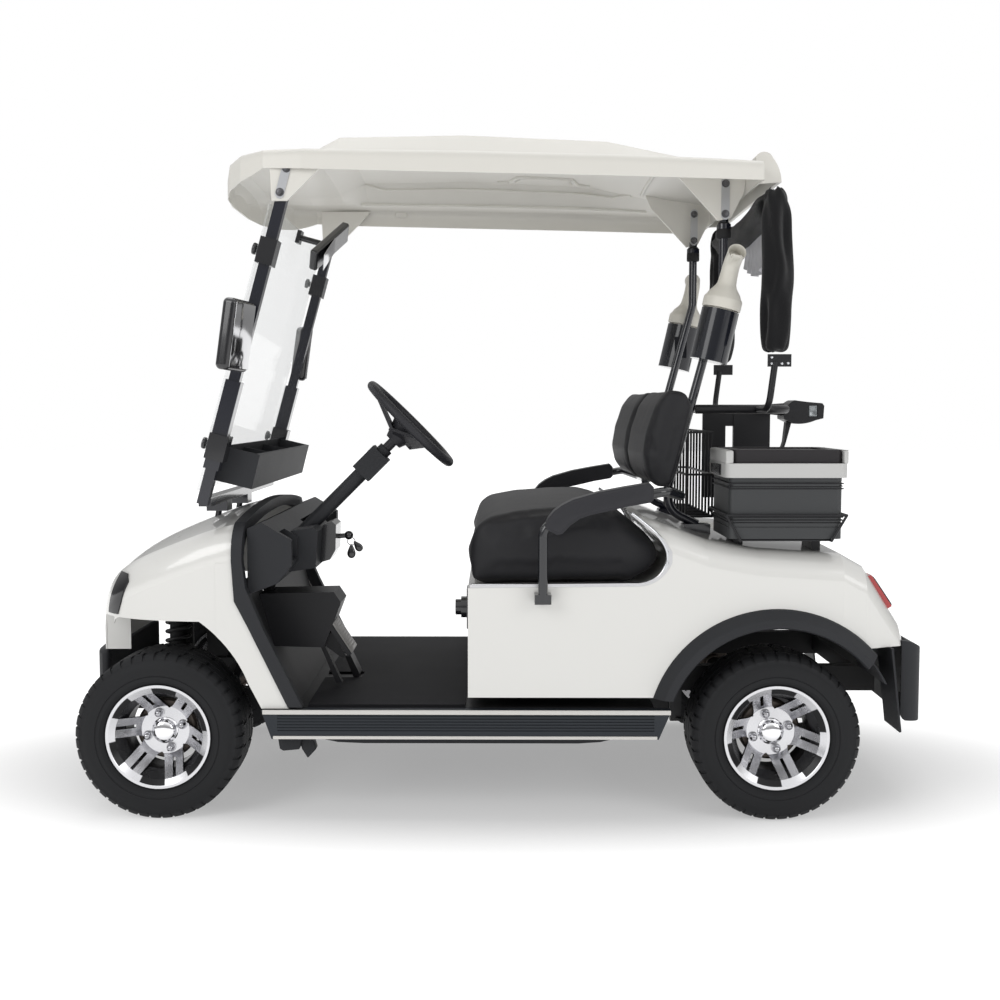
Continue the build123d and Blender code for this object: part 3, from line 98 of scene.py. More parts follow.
def stage_material():
    mat = bpy.data.materials.new("studio_floor")
    mat.use_nodes = True
    nt = mat.node_tree
    nt.nodes.clear()
    matte = add_node(nt, "BsdfDiffuse", {"Color": (0.86, 0.86, 0.86, 1)})
    glow = add_node(nt, "Emission", {"Color": (1, 1, 1, 1), "Strength": glow_strength})
    where = add_node(nt, "TexCoord").outputs["Object"]
    oval = add_node(nt, "VectorMath", {0: where, 1: oval_squeeze}, operation="MULTIPLY")
    away = add_node(nt, "VectorMath", {0: oval.outputs["Vector"]}, operation="LENGTH")
    spread = add_node(nt, "MapRange", {"Value": away.outputs["Value"], "From Min": matte_to, "From Max": glow_from,
                                       "To Min": least_glow}, interpolation_type="SMOOTHSTEP")
    mix = add_node(nt, "MixShader", {"Fac": spread.outputs["Result"], 1: matte.outputs[0], 2: glow.outputs[0]})
    add_node(nt, "OutputMaterial", {"Surface": mix.outputs[0]})
    return mat

bpy.ops.object.select_all(action="DESELECT")
bpy.ops.mesh.primitive_plane_add(size=60.0, location=(0, 0, 0))
floor = bpy.context.object
floor.name = "studio_floor"
floor.data.materials.append(stage_material())

# %% Lamps and sky
def add_lamp(name, place, aim, size, power):
    data = bpy.data.lights.new(name, "AREA")
    data.shape = "RECTANGLE"
    data.size, data.size_y = size
    data.energy = power
    lamp = bpy.data.objects.new(name, data)
    lamp.location = place
    way = Vector(aim) - Vector(place)
    lamp.rotation_euler = way.to_track_quat("-Z", "Y").to_euler()
    bpy.context.scene.collection.objects.link(lamp)

add_lamp("key_left", (-3.6, -4.6, 3.4), (0, 0, 0.7), (3.0, 3.0), 92.0)
add_lamp("fill_right", (3.8, -4.2, 2.6), (0, 0, 0.8), (3.0, 2.4), 54.0)
add_lamp("top_soft", (0.0, 0.6, 4.6), (0, 0, 0.8), (4.0, 3.0), 62.0)

def set_sky(level, backdrop):
    """An even sky for matte surfaces, a white backdrop, and for mirrors a dome that is dim below and bright above."""
    world = bpy.data.worlds.new("studio")
    bpy.context.scene.world = world
    world.use_nodes = True
    nt = world.node_tree
    ray = add_node(nt, "LightPath").outputs
    way = add_node(nt, "TexCoord").outputs["Generated"]
    up = add_node(nt, "SeparateXYZ", {0: way}).outputs["Z"]
    dome = add_node(nt, "MapRange", {"Value": up, "From Min": 0.02, "From Max": 0.6, "To Min": 0.3, "To Max": 1.1},
                    interpolation_type="SMOOTHSTEP")
    shine = add_node(nt, "Mix", {"Factor": ray["Is Glossy Ray"], "A": level, "B": dome.outputs["Result"]})
    seen = add_node(nt, "Math", {0: ray["Is Camera Ray"], 1: ray["Is Transmission Ray"]}, operation="MAXIMUM")
    mix = add_node(nt, "Mix", {"Factor": seen.outputs[0], "A": shine.outputs["Result"], "B": backdrop})
    back = nt.nodes["Background"].inputs
    back["Color"].default_value = (1, 1, 1, 1)
    nt.links.new(mix.outputs["Result"], back["Strength"])

set_sky(0.42, 1.0)
bpy.context.scene.view_settings.view_transform = "Standard"

# %% [markdown]
# ## Finishes
# Real surfaces are never one flat colour. Three small node groups carry what most of them share: a fine worked
# surface with faint blotches, the pebbled grain of vinyl, and the weave of cloth. Each group only puts out a
# colour, a roughness and a normal, so any shader can use it with its own numbers.

# %% Surface groups
def surface_group(name, blotches, grain, bump_distance):
    """Blotches darken the colour and spread the roughness; grain builds the height that the bump reads."""
    g = bpy.data.node_groups.new(name, "ShaderNodeTree")
    numbers = ("Blotch share", "Grain scale", "Grain height", "Roughness", "Roughness spread")
    for label, kind in (("Vector", "Vector"), ("Colour", "Color"), *((label, "Float") for label in numbers)):
        g.interface.new_socket(label, in_out="INPUT", socket_type="NodeSocket" + kind)
    for label, kind in (("Colour", "Color"), ("Roughness", "Float"), ("Normal", "Vector")):
        g.interface.new_socket(label, in_out="OUTPUT", socket_type="NodeSocket" + kind)
    given, result = g.nodes.new("NodeGroupInput").outputs, g.nodes.new("NodeGroupOutput").inputs
    blotch = add_node(g, "TexNoise", {"Vector": given["Vector"], **blotches}).outputs["Fac"]
    share = add_node(g, "MapRange", {"Value": blotch, "To Min": given["Blotch share"]}).outputs["Result"]
    toned = add_node(g, "Mix", {"Factor": 1.0, "A": given["Colour"], "B": share}, data_type="RGBA",
                     blend_type="MULTIPLY")
    rough = add_node(g, "Math", {0: blotch, 1: given["Roughness spread"], 2: given["Roughness"]},
                     operation="MULTIPLY_ADD")
    bump = add_node(g, "Bump", {"Distance": bump_distance, "Strength": given["Grain height"],
                                "Height": grain(g, {"Vector": given["Vector"], "Scale": given["Grain scale"]})})
    g.links.new(toned.outputs["Result"], result["Colour"])
    g.links.new(rough.outputs[0], result["Roughness"])
    g.links.new(bump.outputs["Normal"], result["Normal"])
    return g

def fine_grain(g, at):
    return add_node(g, "TexNoise", {**at, "Detail": 2.0}).outputs["Fac"]

def pebble_grain(g, at):
    return add_node(g, "TexVoronoi", at, feature="DISTANCE_TO_EDGE").outputs["Distance"]

def weave_grain(g, at):
    x, y, z = (add_node(g, "TexWave", at, bands_direction=way).outputs["Fac"] for way in "XYZ")
    return add_node(g, "Math", {0: add_node(g, "Math", {0: x, 1: y}).outputs[0], 1: z}).outputs[0]

worked = surface_group("Worked surface", {"Scale": 9.0, "Detail": 4.0}, fine_grain, 0.001)
pebbled = surface_group("Pebbled vinyl", {"Scale": 14.0, "Detail": 5.0}, pebble_grain, 0.0006)
woven = surface_group("Woven cloth", {"Scale": 20.0}, weave_grain, 0.0006)

# %% Finishes of the solids
finishes, by_slot = {}, {}        # each finish by its own name, and by the slot of the solids that get it

def finish(name, colour, rough, grain, height, slot=None, group=worked, blotch=0.93, spread=0.06, metal=0.0,
           coat=0.0, sheen=0.0, specular=0.5):
    """A material of that name, with its grain's scale and height. A slot makes it the finish of those solids."""
    mat = bpy.data.materials.new(name)
    mat.use_nodes = True
    nt = mat.node_tree
    where = add_node(nt, "TexCoord").outputs["Object"]
    look = add_node(nt, "Group", {"Vector": where, "Colour": (*colour, 1), "Blotch share": blotch,
                                  "Grain scale": grain, "Grain height": height, "Roughness": rough,
                                  "Roughness spread": spread}, node_tree=group)
    shader = nt.nodes["Principled BSDF"].inputs
    for source, target in (("Colour", "Base Color"), ("Roughness", "Roughness"), ("Normal", "Normal")):
        nt.links.new(look.outputs[source], shader[target])
    for label, value in (("Metallic", metal), ("Coat Weight", coat), ("Coat Roughness", 0.05),
                         ("Sheen Weight", sheen), ("Specular IOR Level", specular)):
        shader[label].default_value = value
    finishes[name] = mat
    if slot:
        by_slot[slot] = mat
    return mat

finish("pearl_paint", (0.7, 0.695, 0.67), 0.26, 1500.0, 0.015, "body_paint", blotch=0.985, coat=0.8)
finish("roof_skin", (0.66, 0.645, 0.6), 0.38, 900.0, 0.12, "roof_plastic", blotch=0.96)
finish("dark_moulding", (0.018, 0.019, 0.022), 0.55, 1100.0, 0.25, "black_plastic", specular=0.3)
finish("gloss_moulding", (0.012, 0.012, 0.014), 0.16, 700.0, 0.02, "gloss_black", coat=0.4)
finish("sill_moulding", (0.02, 0.024, 0.03), 0.5, 900.0, 0.15, "sill_plastic", specular=0.3)
finish("post_enamel", (0.008, 0.009, 0.016), 0.15, 500.0, 0.03, "post_paint", coat=0.5)
finish("frame_enamel", (0.015, 0.015, 0.016), 0.5, 700.0, 0.12, "frame_paint", specular=0.3)
finish("cast_black", (0.022, 0.022, 0.023), 0.6, 350.0, 0.35, "axle_iron", metal=0.3, specular=0.25)
finish("motor_grey", (0.09, 0.09, 0.095), 0.5, 350.0, 0.3, "motor_metal", metal=0.4)
finish("spring_black", (0.05, 0.05, 0.052), 0.45, 300.0, 0.2, "spring_steel", metal=0.6)
finish("battery_case", (0.03, 0.03, 0.034), 0.4, 500.0, 0.1, "battery_case", specular=0.3)
finish("tyre_rubber", (0.014, 0.0145, 0.016), 0.62, 900.0, 0.2, "tyre_rubber", blotch=0.8, specular=0.22)
finish("bare_drum", (0.2, 0.17, 0.15), 0.55, 300.0, 0.3, "drum_iron", metal=0.7)
finish("bright_alloy", (0.72, 0.72, 0.74), 0.18, 900.0, 0.03, "rim_alloy", blotch=0.97, metal=1.0)
finish("lamp_smoke", (0.008, 0.008, 0.01), 0.08, 300.0, 0.03, "lamp_lens")
finish("tail_red", (0.42, 0.012, 0.012), 0.12, 300.0, 0.05, "tail_lens", coat=0.7)
finish("seat_vinyl", (0.012, 0.012, 0.014), 0.55, 520.0, 0.35, "seat_vinyl", group=pebbled, specular=0.28)
finish("satin_trim", (0.62, 0.62, 0.63), 0.28, 700.0, 0.03, "bright_trim", metal=1.0)
finish("arm_enamel", (0.01, 0.011, 0.014), 0.16, 500.0, 0.02, "arm_tube", coat=0.5)
finish("mat_rubber", (0.012, 0.012, 0.014), 0.7, 600.0, 0.3, "mat_rubber", specular=0.15)
finish("mirror_shell", (0.01, 0.01, 0.012), 0.14, 500.0, 0.02, "mirror_glass", coat=0.5)
finish("bottle_cream", (0.62, 0.6, 0.54), 0.42, 700.0, 0.06, "bottle_plastic", blotch=0.97)
finish("rack_black", (0.012, 0.012, 0.014), 0.38, 700.0, 0.08, "rack_paint", specular=0.3)
finish("cooler_shell", (0.03, 0.032, 0.034), 0.5, 900.0, 0.15, "cooler_plastic", specular=0.3)
finish("lid_shell", (0.018, 0.016, 0.018), 0.45, 900.0, 0.12, "lid_plastic", specular=0.3)
finish("cover_cloth", (0.007, 0.007, 0.008), 0.85, 420.0, 0.5, "cover_cloth", group=woven, sheen=0.2, specular=0.15)
finish("grip_rubber", (0.022, 0.022, 0.026), 0.45, 900.0, 0.15, "wheel_rim_plastic", specular=0.3)
finish("pedal_alloy", (0.34, 0.33, 0.32), 0.4, 260.0, 0.2, metal=0.9)

def clear_acrylic():
    mat = bpy.data.materials.new("clear_acrylic")
    mat.use_nodes = True
    nt = mat.node_tree
    shader = nt.nodes["Principled BSDF"].inputs
    for label, value in (("Base Color", (0.9, 0.94, 0.95, 1)), ("Roughness", 0.04), ("IOR", 1.49), ("Alpha", 0.16)):
        shader[label].default_value = value
    where = add_node(nt, "TexCoord").outputs["Object"]
    waves = add_node(nt, "TexNoise", {"Vector": where, "Scale": 3.0})
    bump = add_node(nt, "Bump", {"Strength": 0.03, "Height": waves.outputs["Fac"]})
    nt.links.new(bump.outputs["Normal"], shader["Normal"])
    return mat

by_slot["screen_acrylic"] = clear_acrylic()
by_slot["pedal_metal"] = by_slot["rack_paint"]

# %% Paint the solids
def paint(obj, material):
    obj.data.materials.clear()
    obj.data.materials.append(material)

slot_of = {part["node"]: part["material_slot"] for part in frame["record"]["subparts"]}
for name, obj in node.items():
    paint(obj, by_slot[slot_of[name]])

# %% [markdown]
# ## Hands for modelling
# Every new piece starts as a primitive and is shaped in edit mode, as it would be by hand. These few helpers enter
# and leave edit mode, pick faces by where they are, and settle a finished piece: its place goes into its mesh, it
# gets its finish, and it rides on the body of the cart that carries it, the cart itself unless another is named.

# %% Modelling helpers
def add(kind, **how):
    bpy.ops.object.select_all(action="DESELECT")
    getattr(bpy.ops.mesh, "primitive_" + kind + "_add")(**how)
    return bpy.context.object

def only(obj):
    bpy.ops.object.select_all(action="DESELECT")
    obj.select_set(True)
    bpy.context.view_layer.objects.active = obj

def edit(obj, kind="FACE"):
    only(obj)
    bpy.ops.object.mode_set(mode="EDIT")
    bpy.ops.mesh.select_mode(type=kind)
    bpy.ops.mesh.select_all(action="DESELECT")

def done():
    bpy.ops.object.mode_set(mode="OBJECT")

def pick(obj, test, kind="faces"):
    """Selects faces or vertices for which test(centre, normal) holds, or edges for which test(middle, line) does."""
    bm = bmesh.from_edit_mesh(obj.data)
    bm.normal_update()
    for e in getattr(bm, kind):
        if kind == "faces":
            e.select_set(bool(test(e.calc_center_median(), e.normal)))
        elif kind == "edges":
            e.select_set(bool(test((e.verts[0].co + e.verts[1].co) / 2, e.verts[1].co - e.verts[0].co)))
        else:
            e.select_set(bool(test(e.co, e.normal)))
    bm.select_flush_mode()
    bmesh.update_edit_mesh(obj.data)

def apply_place(obj):
    only(obj)
    bpy.ops.object.transform_apply(location=True, rotation=True, scale=True)

def join(first, *others):
    if not others:
        return first
    bpy.ops.object.select_all(action="DESELECT")
    for o in (first, *others):
        o.select_set(True)
    bpy.context.view_layer.objects.active = first
    bpy.ops.object.join()
    return first

def outward(obj, merge=0.00002):
    edit(obj)
    bpy.ops.mesh.select_all(action="SELECT")
    bpy.ops.mesh.remove_doubles(threshold=merge)
    bpy.ops.mesh.normals_make_consistent(inside=False)
    done()

def modify(obj, kind, **values):
    m = obj.modifiers.new(kind.lower(), kind)
    for key, value in values.items():
        setattr(m, key, value)
    only(obj)
    bpy.ops.object.modifier_apply(modifier=m.name)

def subdivide(obj, levels):
    modify(obj, "SUBSURF", levels=levels, render_levels=levels)

def round_edges(obj, width, steps, sharper_than):
    modify(obj, "BEVEL", width=width, segments=steps, limit_method="ANGLE", angle_limit=math.radians(sharper_than))

def turn_by(degrees, axis):
    return Matrix.Rotation(math.radians(degrees), 4, axis)

def settle(obj, name, material, slot, instead=None, angle=40, body="cart"):
    """Names a finished piece and gives it its finish, its body and the solid it stands in for; slot is not used."""
    apply_place(obj)
    obj.name = obj.data.name = name
    paint(obj, finishes[material])
    bpy.ops.object.shade_smooth_by_angle(angle=math.radians(angle))
    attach(obj, body)
    if instead:
        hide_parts(instead)
    return obj

def copy_of(obj, matrix):
    """A copy with its own mesh, moved by a matrix."""
    twin = bpy.data.objects.new(obj.name + "_copy", obj.data.copy())
    bpy.context.scene.collection.objects.link(twin)
    twin.data.transform(matrix)
    return twin

def settle_copies(master, places, *how, **more):
    """Joins a copy of a piece at each place into one settled piece."""
    return settle(join(*[copy_of(master, place) for place in places]), *how, **more)

# %% Turned pieces and plates
def turned_piece(rings, steps, close_ends=True):
    """Extrudes a circle ring by ring, (radius, distance along Y), like work on a lathe."""
    r0, y0 = rings[0]
    obj = add("circle", vertices=steps, radius=r0, location=(0, y0, 0), rotation=(math.pi / 2, 0, 0))
    apply_place(obj)
    edit(obj, "EDGE")
    bpy.ops.mesh.select_all(action="SELECT")
    if close_ends:
        bpy.ops.mesh.duplicate()
        bpy.ops.mesh.edge_face_add()
        pick(obj, lambda c, n: True, "edges")
    for (ra, ya), (rb, yb) in zip(rings, rings[1:]):
        if close_ends and (ra, ya) == rings[0]:
            pick(obj, lambda c, n: True, "edges")
        bpy.ops.mesh.extrude_edges_move(TRANSFORM_OT_translate={"value": (0, yb - ya, 0)})
        k = rb / ra
        bpy.ops.transform.resize(value=(k, 1, k), center_override=(0, yb, 0))
    if close_ends:
        bpy.ops.mesh.edge_face_add()
    done()
    if close_ends:
        outward(obj)
    return obj

def outline_plate(points, thickness, normal=(0, 1, 0)):
    """Draws an outline vertex by vertex, fills it and pulls it out to a plate."""
    obj = add("plane", size=0.001, location=points[0])
    apply_place(obj)
    edit(obj, "VERT")
    bpy.ops.mesh.select_all(action="SELECT")
    bpy.ops.mesh.merge(type="CENTER")
    here = Vector(points[0])
    for p in points[1:]:
        bpy.ops.mesh.extrude_vertices_move(TRANSFORM_OT_translate={"value": Vector(p) - here})
        here = Vector(p)
    bpy.ops.mesh.select_all(action="SELECT")
    bpy.ops.mesh.edge_face_add()
    bpy.ops.mesh.extrude_region_move(TRANSFORM_OT_translate={"value": Vector(normal) * thickness})
    done()
    outward(obj)
    return obj

def pipe(points, radius, steps=3, order=3):
    """A round tube along a smooth line near the given points."""
    curve = bpy.data.curves.new("pipe", "CURVE")
    curve.dimensions = "3D"
    line = curve.splines.new("NURBS")
    line.points.add(len(points) - 1)
    for k, p in enumerate(points):
        line.points[k].co = (*p, 1)
    line.order_u = order
    line.use_endpoint_u = True
    line.resolution_u = 6
    curve.bevel_depth = radius
    curve.bevel_resolution = steps
    curve.use_fill_caps = True
    obj = bpy.data.objects.new("pipe", curve)
    bpy.context.scene.collection.objects.link(obj)
    only(obj)
    bpy.ops.object.convert(target="MESH")
    return bpy.context.object

# %% [markdown]
# ## Tyres
# The tread of a golf cart tyre is a flat belt between square shoulders, cut across by short grooves. A lathe shape
# gives the carcass with its bead and side ribs; the blocks are faces of the belt pulled outwards, three steps wide
# with one step left between them. One tyre is modelled at the origin and copied to the four wheels.

# %% Places of the wheels
wheel_y, axle_z = 0.473, 0.228        # a wheel's middle plane from the centre line, its axle above the ground
corner_of = {
    "front_left": (-0.92, -1), "front_right": (-0.92, 1), "rear_left": (0.75, -1), "rear_right": (0.75, 1),
}

def wheel_place(corner):
    """Takes a piece modelled round the origin, with its outer face towards -Y, to a wheel."""
    x, side = corner_of[corner]
    half_turn = Matrix.Rotation(math.pi if side > 0 else 0.0, 4, "Z")
    return Matrix.Translation((x, side * wheel_y, axle_z)) @ half_turn

def on_wheels(master, spots, name, material, slot, instead=None, angle=40):
    """Copies a piece to its spots on each wheel, then removes it."""
    for corner in corner_of:
        settle_copies(master, [wheel_place(corner) @ spot for spot in spots], name + corner, material, slot,
                      instead and instead + corner, angle, "wheel_" + corner)
    bpy.data.objects.remove(master)

# %% One tyre
tyre_steps = 176
belt_radius = 0.2235
tyre_rings = [
    # radius, distance from the wheel's middle plane
    (0.129, -0.084), (0.138, -0.0855), (0.145, -0.088), (0.15, -0.095), (0.156, -0.099),
    (0.157, -0.1), (0.166, -0.1012), (0.1675, -0.0998), (0.17, -0.1018), (0.185, -0.1018),
    (0.198, -0.0996), (0.2, -0.098), (0.209, -0.0952), (0.2165, -0.089), (0.2225, -0.079),
    (0.2235, -0.056), (0.2235, -0.052), (0.224, -0.02), (0.224, -0.016),
]
tyre_rings = tyre_rings + [(r, -y) for r, y in reversed(tyre_rings)]

def raise_blocks(height):
    """Pulls the selected belt faces outwards from the wheel's axle."""
    k = 1 + height / belt_radius
    bpy.ops.mesh.extrude_region()
    bpy.ops.transform.resize(value=(k, 1, k), center_override=(0, 0, 0))

def model_tyre():
    tyre = turned_piece(tyre_rings, tyre_steps, close_ends=False)
    edit(tyre)
    turn = 2 * math.pi / tyre_steps
    def place(c, shift):
        """A face's distance from the axle and the number of its step round the tyre."""
        return math.hypot(c.x, c.z), int((math.atan2(c.z, c.x) + shift + 4 * math.pi) / turn)
    def block(c, n):
        r, k = place(c, 0 if c.y < 0 else turn * 2)
        return r > 0.2125 and abs(c.y) > 0.056 and k % 4 != 0
    pick(tyre, block)
    raise_blocks(0.004)
    def rib(c, n):
        r, k = place(c, 0)
        return r > 0.2225 and (0.02 < abs(c.y) < 0.052 and k % 8 != 3 or abs(c.y) < 0.016)
    pick(tyre, rib)
    raise_blocks(0.0036)
    done()
    return tyre

master_tyre = model_tyre()
print("tyre", len(master_tyre.data.polygons), "faces, outer radius",
      round(max(math.hypot(v.co.x, v.co.z) for v in master_tyre.data.vertices), 4))
on_wheels(master_tyre, [Matrix()], "tread_", "tyre_rubber", "tyre_rubber", "tyre_", 30)

# %% [markdown]
# ## Seat
# The bench is one thick pad in stretched vinyl: its top is crowned, its front edge is rolled, and its sides bulge a
# little between the seams. A cloth simulation gives that for free: the pad starts slightly small, air pressure
# blows it up for a few frames, and how far each point may move is capped.

# %% Inflating a pad
def inflate(obj, cap, voxel=0.007, pressure=4.0, frames=14):
    modify(obj, "REMESH", mode="VOXEL", voxel_size=voxel)
    start = [v.co.copy() for v in obj.data.vertices]
    cloth = obj.modifiers.new("cloth", "CLOTH")
    cloth.settings.use_pressure = True
    cloth.settings.uniform_pressure_force = pressure
    cloth.settings.effector_weights.gravity = 0.0
    cloth.settings.quality = 4
    for k in range(1, frames + 1):
        bpy.context.scene.frame_set(k)
    deps = bpy.context.evaluated_depsgraph_get()
    posed = obj.evaluated_get(deps).to_mesh()
    moved = [v.co.copy() for v in posed.vertices]
    obj.modifiers.remove(cloth)
    most = 0.0
    for v, a, b in zip(obj.data.vertices, start, moved):
        step = b - a
        if step.length > cap:
            step *= cap / step.length
        most = max(most, step.length)
        v.co = a + step
    bpy.context.scene.frame_set(1)
    modify(obj, "SMOOTH", factor=0.5, iterations=4)
    subdivide(obj, 1)
    print(obj.name, "inflated by up to", round(most * 1000, 1), "mm")
    return obj

# %% Bench pad
bench_outline = [
    # x, z of the side seam, front bottom round to rear bottom
    (-0.078, 0.641), (-0.082, 0.7), (-0.079, 0.756), (-0.07, 0.788), (-0.046, 0.806), (0.06, 0.826),
    (0.18, 0.835), (0.27, 0.836), (0.33, 0.822), (0.39, 0.776), (0.432, 0.742), (0.443, 0.716), (0.436, 0.692),
    (0.412, 0.668), (0.37, 0.646), (0.15, 0.642),
]

def pad_between(name, outline, y_from, y_to, round_by):
    """Draws a pad's side outline, pulls it across in steps and draws its two ends in."""
    obj = outline_plate([(x, y_from + round_by, z) for x, z in outline], y_to - y_from - 2 * round_by)
    obj.name = name
    cx = sum(p[0] for p in outline) / len(outline)
    cz = sum(p[1] for p in outline) / len(outline)
    for side, y in ((-1, y_from + round_by), (1, y_to - round_by)):
        edit(obj)
        pick(obj, lambda c, n: abs(c.y - y) < 1e-5 and abs(n.y) > 0.9)
        for step, shrink in ((0.55, 0.985), (0.35, 0.94), (0.1, 0.87)):
            bpy.ops.mesh.extrude_region_move(TRANSFORM_OT_translate={"value": (0, side * round_by * step, 0)})
            bpy.ops.transform.resize(value=(shrink, 1, shrink), center_override=(cx, y, cz))
        done()
    return obj

bench = pad_between("bench_pad", bench_outline, -0.51, 0.51, 0.03)
inflate(bench, 0.01, voxel=0.009)
settle(bench, "bench_pad", "seat_vinyl", "seat_vinyl", "seat_cushion", angle=60)

# %% Seat backs
back_outline = [
    (0.463, 1.168), (0.432, 1.122), (0.408, 1.05), (0.398, 0.985), (0.408, 0.93), (0.436, 0.896),
    (0.468, 0.898), (0.484, 0.95), (0.5, 1.01), (0.516, 1.075), (0.526, 1.128), (0.508, 1.16),
]
for name, low, high in (("left", -0.5, -0.03), ("right", 0.03, 0.5)):
    pad = pad_between("back_pad_" + name, back_outline, low, high, 0.034)
    inflate(pad, 0.006)
    settle(pad, "back_pad_" + name, "seat_vinyl", "seat_vinyl", "seat_backs" if name == "left" else None, angle=60)

# %% [markdown]
# ## Alloy wheels
# The casting is painted black all over and then its face is turned bright, so a face that looks along the axle is
# bare metal and every window wall is black. The mix is read from the surface normal in the material. Each wheel
# also has four bright domed nuts round a chrome cap.

# %% Turned and painted alloy
def mixed_by_mask(mat, second, build_mask):
    """Blends a finish's colour with a second one by a mask built from its own nodes."""
    nt = mat.node_tree
    shader = nt.nodes["Principled BSDF"]
    look = next(n for n in nt.nodes if n.type == "GROUP")
    mask = build_mask(nt)
    tone = add_node(nt, "Mix", {"Factor": mask, "A": (*second, 1), "B": look.outputs["Colour"]}, data_type="RGBA")
    nt.links.new(tone.outputs["Result"], shader.inputs["Base Color"])
    return mask, shader

def band(nt, value, low, high):
    """0 below a value, 1 above another, and a ramp between them."""
    return add_node(nt, "MapRange", {"Value": value, "From Min": low, "From Max": high}).outputs["Result"]

def number(nt, operation, *values):
    """A Math node on values that are sockets or plain numbers."""
    return add_node(nt, "Math", enumerate(values), operation=operation).outputs[0]

def position(nt):
    """The object position, split into X, Y and Z."""
    where = next(n for n in nt.nodes if n.type == "TEX_COORD").outputs["Object"]
    return add_node(nt, "SeparateXYZ", {0: where}).outputs

first_spoke = -8.0                       # degrees from the level line
mid_wheelbase, half_wheelbase = -0.085, 0.835
hub_to, lip_from = 0.1172, 0.1335        # all bright inside the first radius and outside the second

def turned_face_mask(nt):
    """Bright where the casting faces outwards: spokes, hub and lip, but not the pockets between the spoke ends."""
    normal = add_node(nt, "NewGeometry").outputs["True Normal"]
    level = add_node(nt, "SeparateXYZ", {0: normal}).outputs["Y"]
    outward_face = band(nt, number(nt, "ABSOLUTE", level), 0.42, 0.5)
    where = position(nt)
    along = number(nt, "ADD", where["X"], -mid_wheelbase)
    u = number(nt, "SUBTRACT", along, number(nt, "MULTIPLY", number(nt, "SIGN", along), half_wheelbase))
    v = number(nt, "SUBTRACT", where["Z"], axle_z)
    r = number(nt, "SQRT", number(nt, "ADD", number(nt, "MULTIPLY", u, u), number(nt, "MULTIPLY", v, v)))
    turn = number(nt, "MULTIPLY", number(nt, "ARCTAN2", v, u), 6.0)
    spoke = number(nt, "COSINE", number(nt, "SUBTRACT", turn, math.radians(first_spoke * 6)))
    inside = number(nt, "SUBTRACT", 1.0, band(nt, r, hub_to, hub_to + 0.0008))
    edge = band(nt, r, lip_from, lip_from + 0.0005)
    lit = number(nt, "MAXIMUM", number(nt, "MAXIMUM", inside, edge), band(nt, spoke, -0.05, 0.05))
    return number(nt, "MULTIPLY", outward_face, lit)

machined_alloy = finish("machined_alloy", (0.66, 0.66, 0.68), 0.24, 900.0, 0.01, blotch=0.95, metal=1.0,
                        specular=0.25)
mask, shader = mixed_by_mask(machined_alloy, (0.006, 0.006, 0.007), turned_face_mask)
machined_alloy.node_tree.links.new(mask, shader.inputs["Metallic"])
for corner in corner_of:
    paint(node["rim_" + corner], machined_alloy)

# %% Lug nuts: a round collar that narrows into a dome, four to a wheel
finish("chrome", (0.82, 0.82, 0.84), 0.07, 300.0, 0.01, blotch=0.98, metal=1.0)
finish("zinc", (0.55, 0.56, 0.58), 0.3, 400.0, 0.05, blotch=0.9, metal=1.0)
finish("nut_chrome", (0.42, 0.42, 0.44), 0.1, 300.0, 0.01, blotch=0.95, metal=1.0)
acorn_nut = turned_piece([(0.0135, 0.0), (0.0135, -0.003), (0.0105, -0.0035), (0.0105, -0.012), (0.0098, -0.016),
                          (0.008, -0.0195), (0.005, -0.0217), (0.0018, -0.0225)], 18)
stud_circle = 0.0508
stud_angles = [math.radians(18 + 90 * k) for k in range(4)]
studs = [Matrix.Translation((stud_circle * math.cos(a), -0.0085, stud_circle * math.sin(a))) for a in stud_angles]
on_wheels(acorn_nut, studs, "lug_nuts_", "nut_chrome", "rim_alloy")

# %% Hub caps: a plain chrome dome on a stepped rim
hub_cap = turned_piece([(0.033, -0.008), (0.0366, -0.009), (0.0366, -0.0125), (0.0345, -0.014), (0.0325, -0.015),
                        (0.0318, -0.022), (0.0305, -0.0262), (0.027, -0.03), (0.02, -0.0326), (0.011, -0.034),
                        (0.004, -0.0344)], 36)
on_wheels(hub_cap, [Matrix()], "hub_cap_", "chrome", "rim_alloy", angle=30)

# %% [markdown]
# ## Sand bottles
# Each bottle has a cream moulded top: a wide collar that screws on the black canister, shoulders and a neck that
# bends outwards, open at its mouth. Its rings are drawn on the lathe, and the top ones are turned a little more
# each time round the inside of the bend.

# %% Bottles
def bend_top(obj, rings, pivot, way):
    """Turns everything above each height by a few degrees about a point of the bend."""
    for height, degrees in rings:
        edit(obj, "VERT")
        pick(obj, lambda c, n: c.z > height, "verts")
        bpy.ops.transform.rotate(value=way * math.radians(degrees), orient_axis="X",
                                 center_override=(0, pivot, height))
        done()

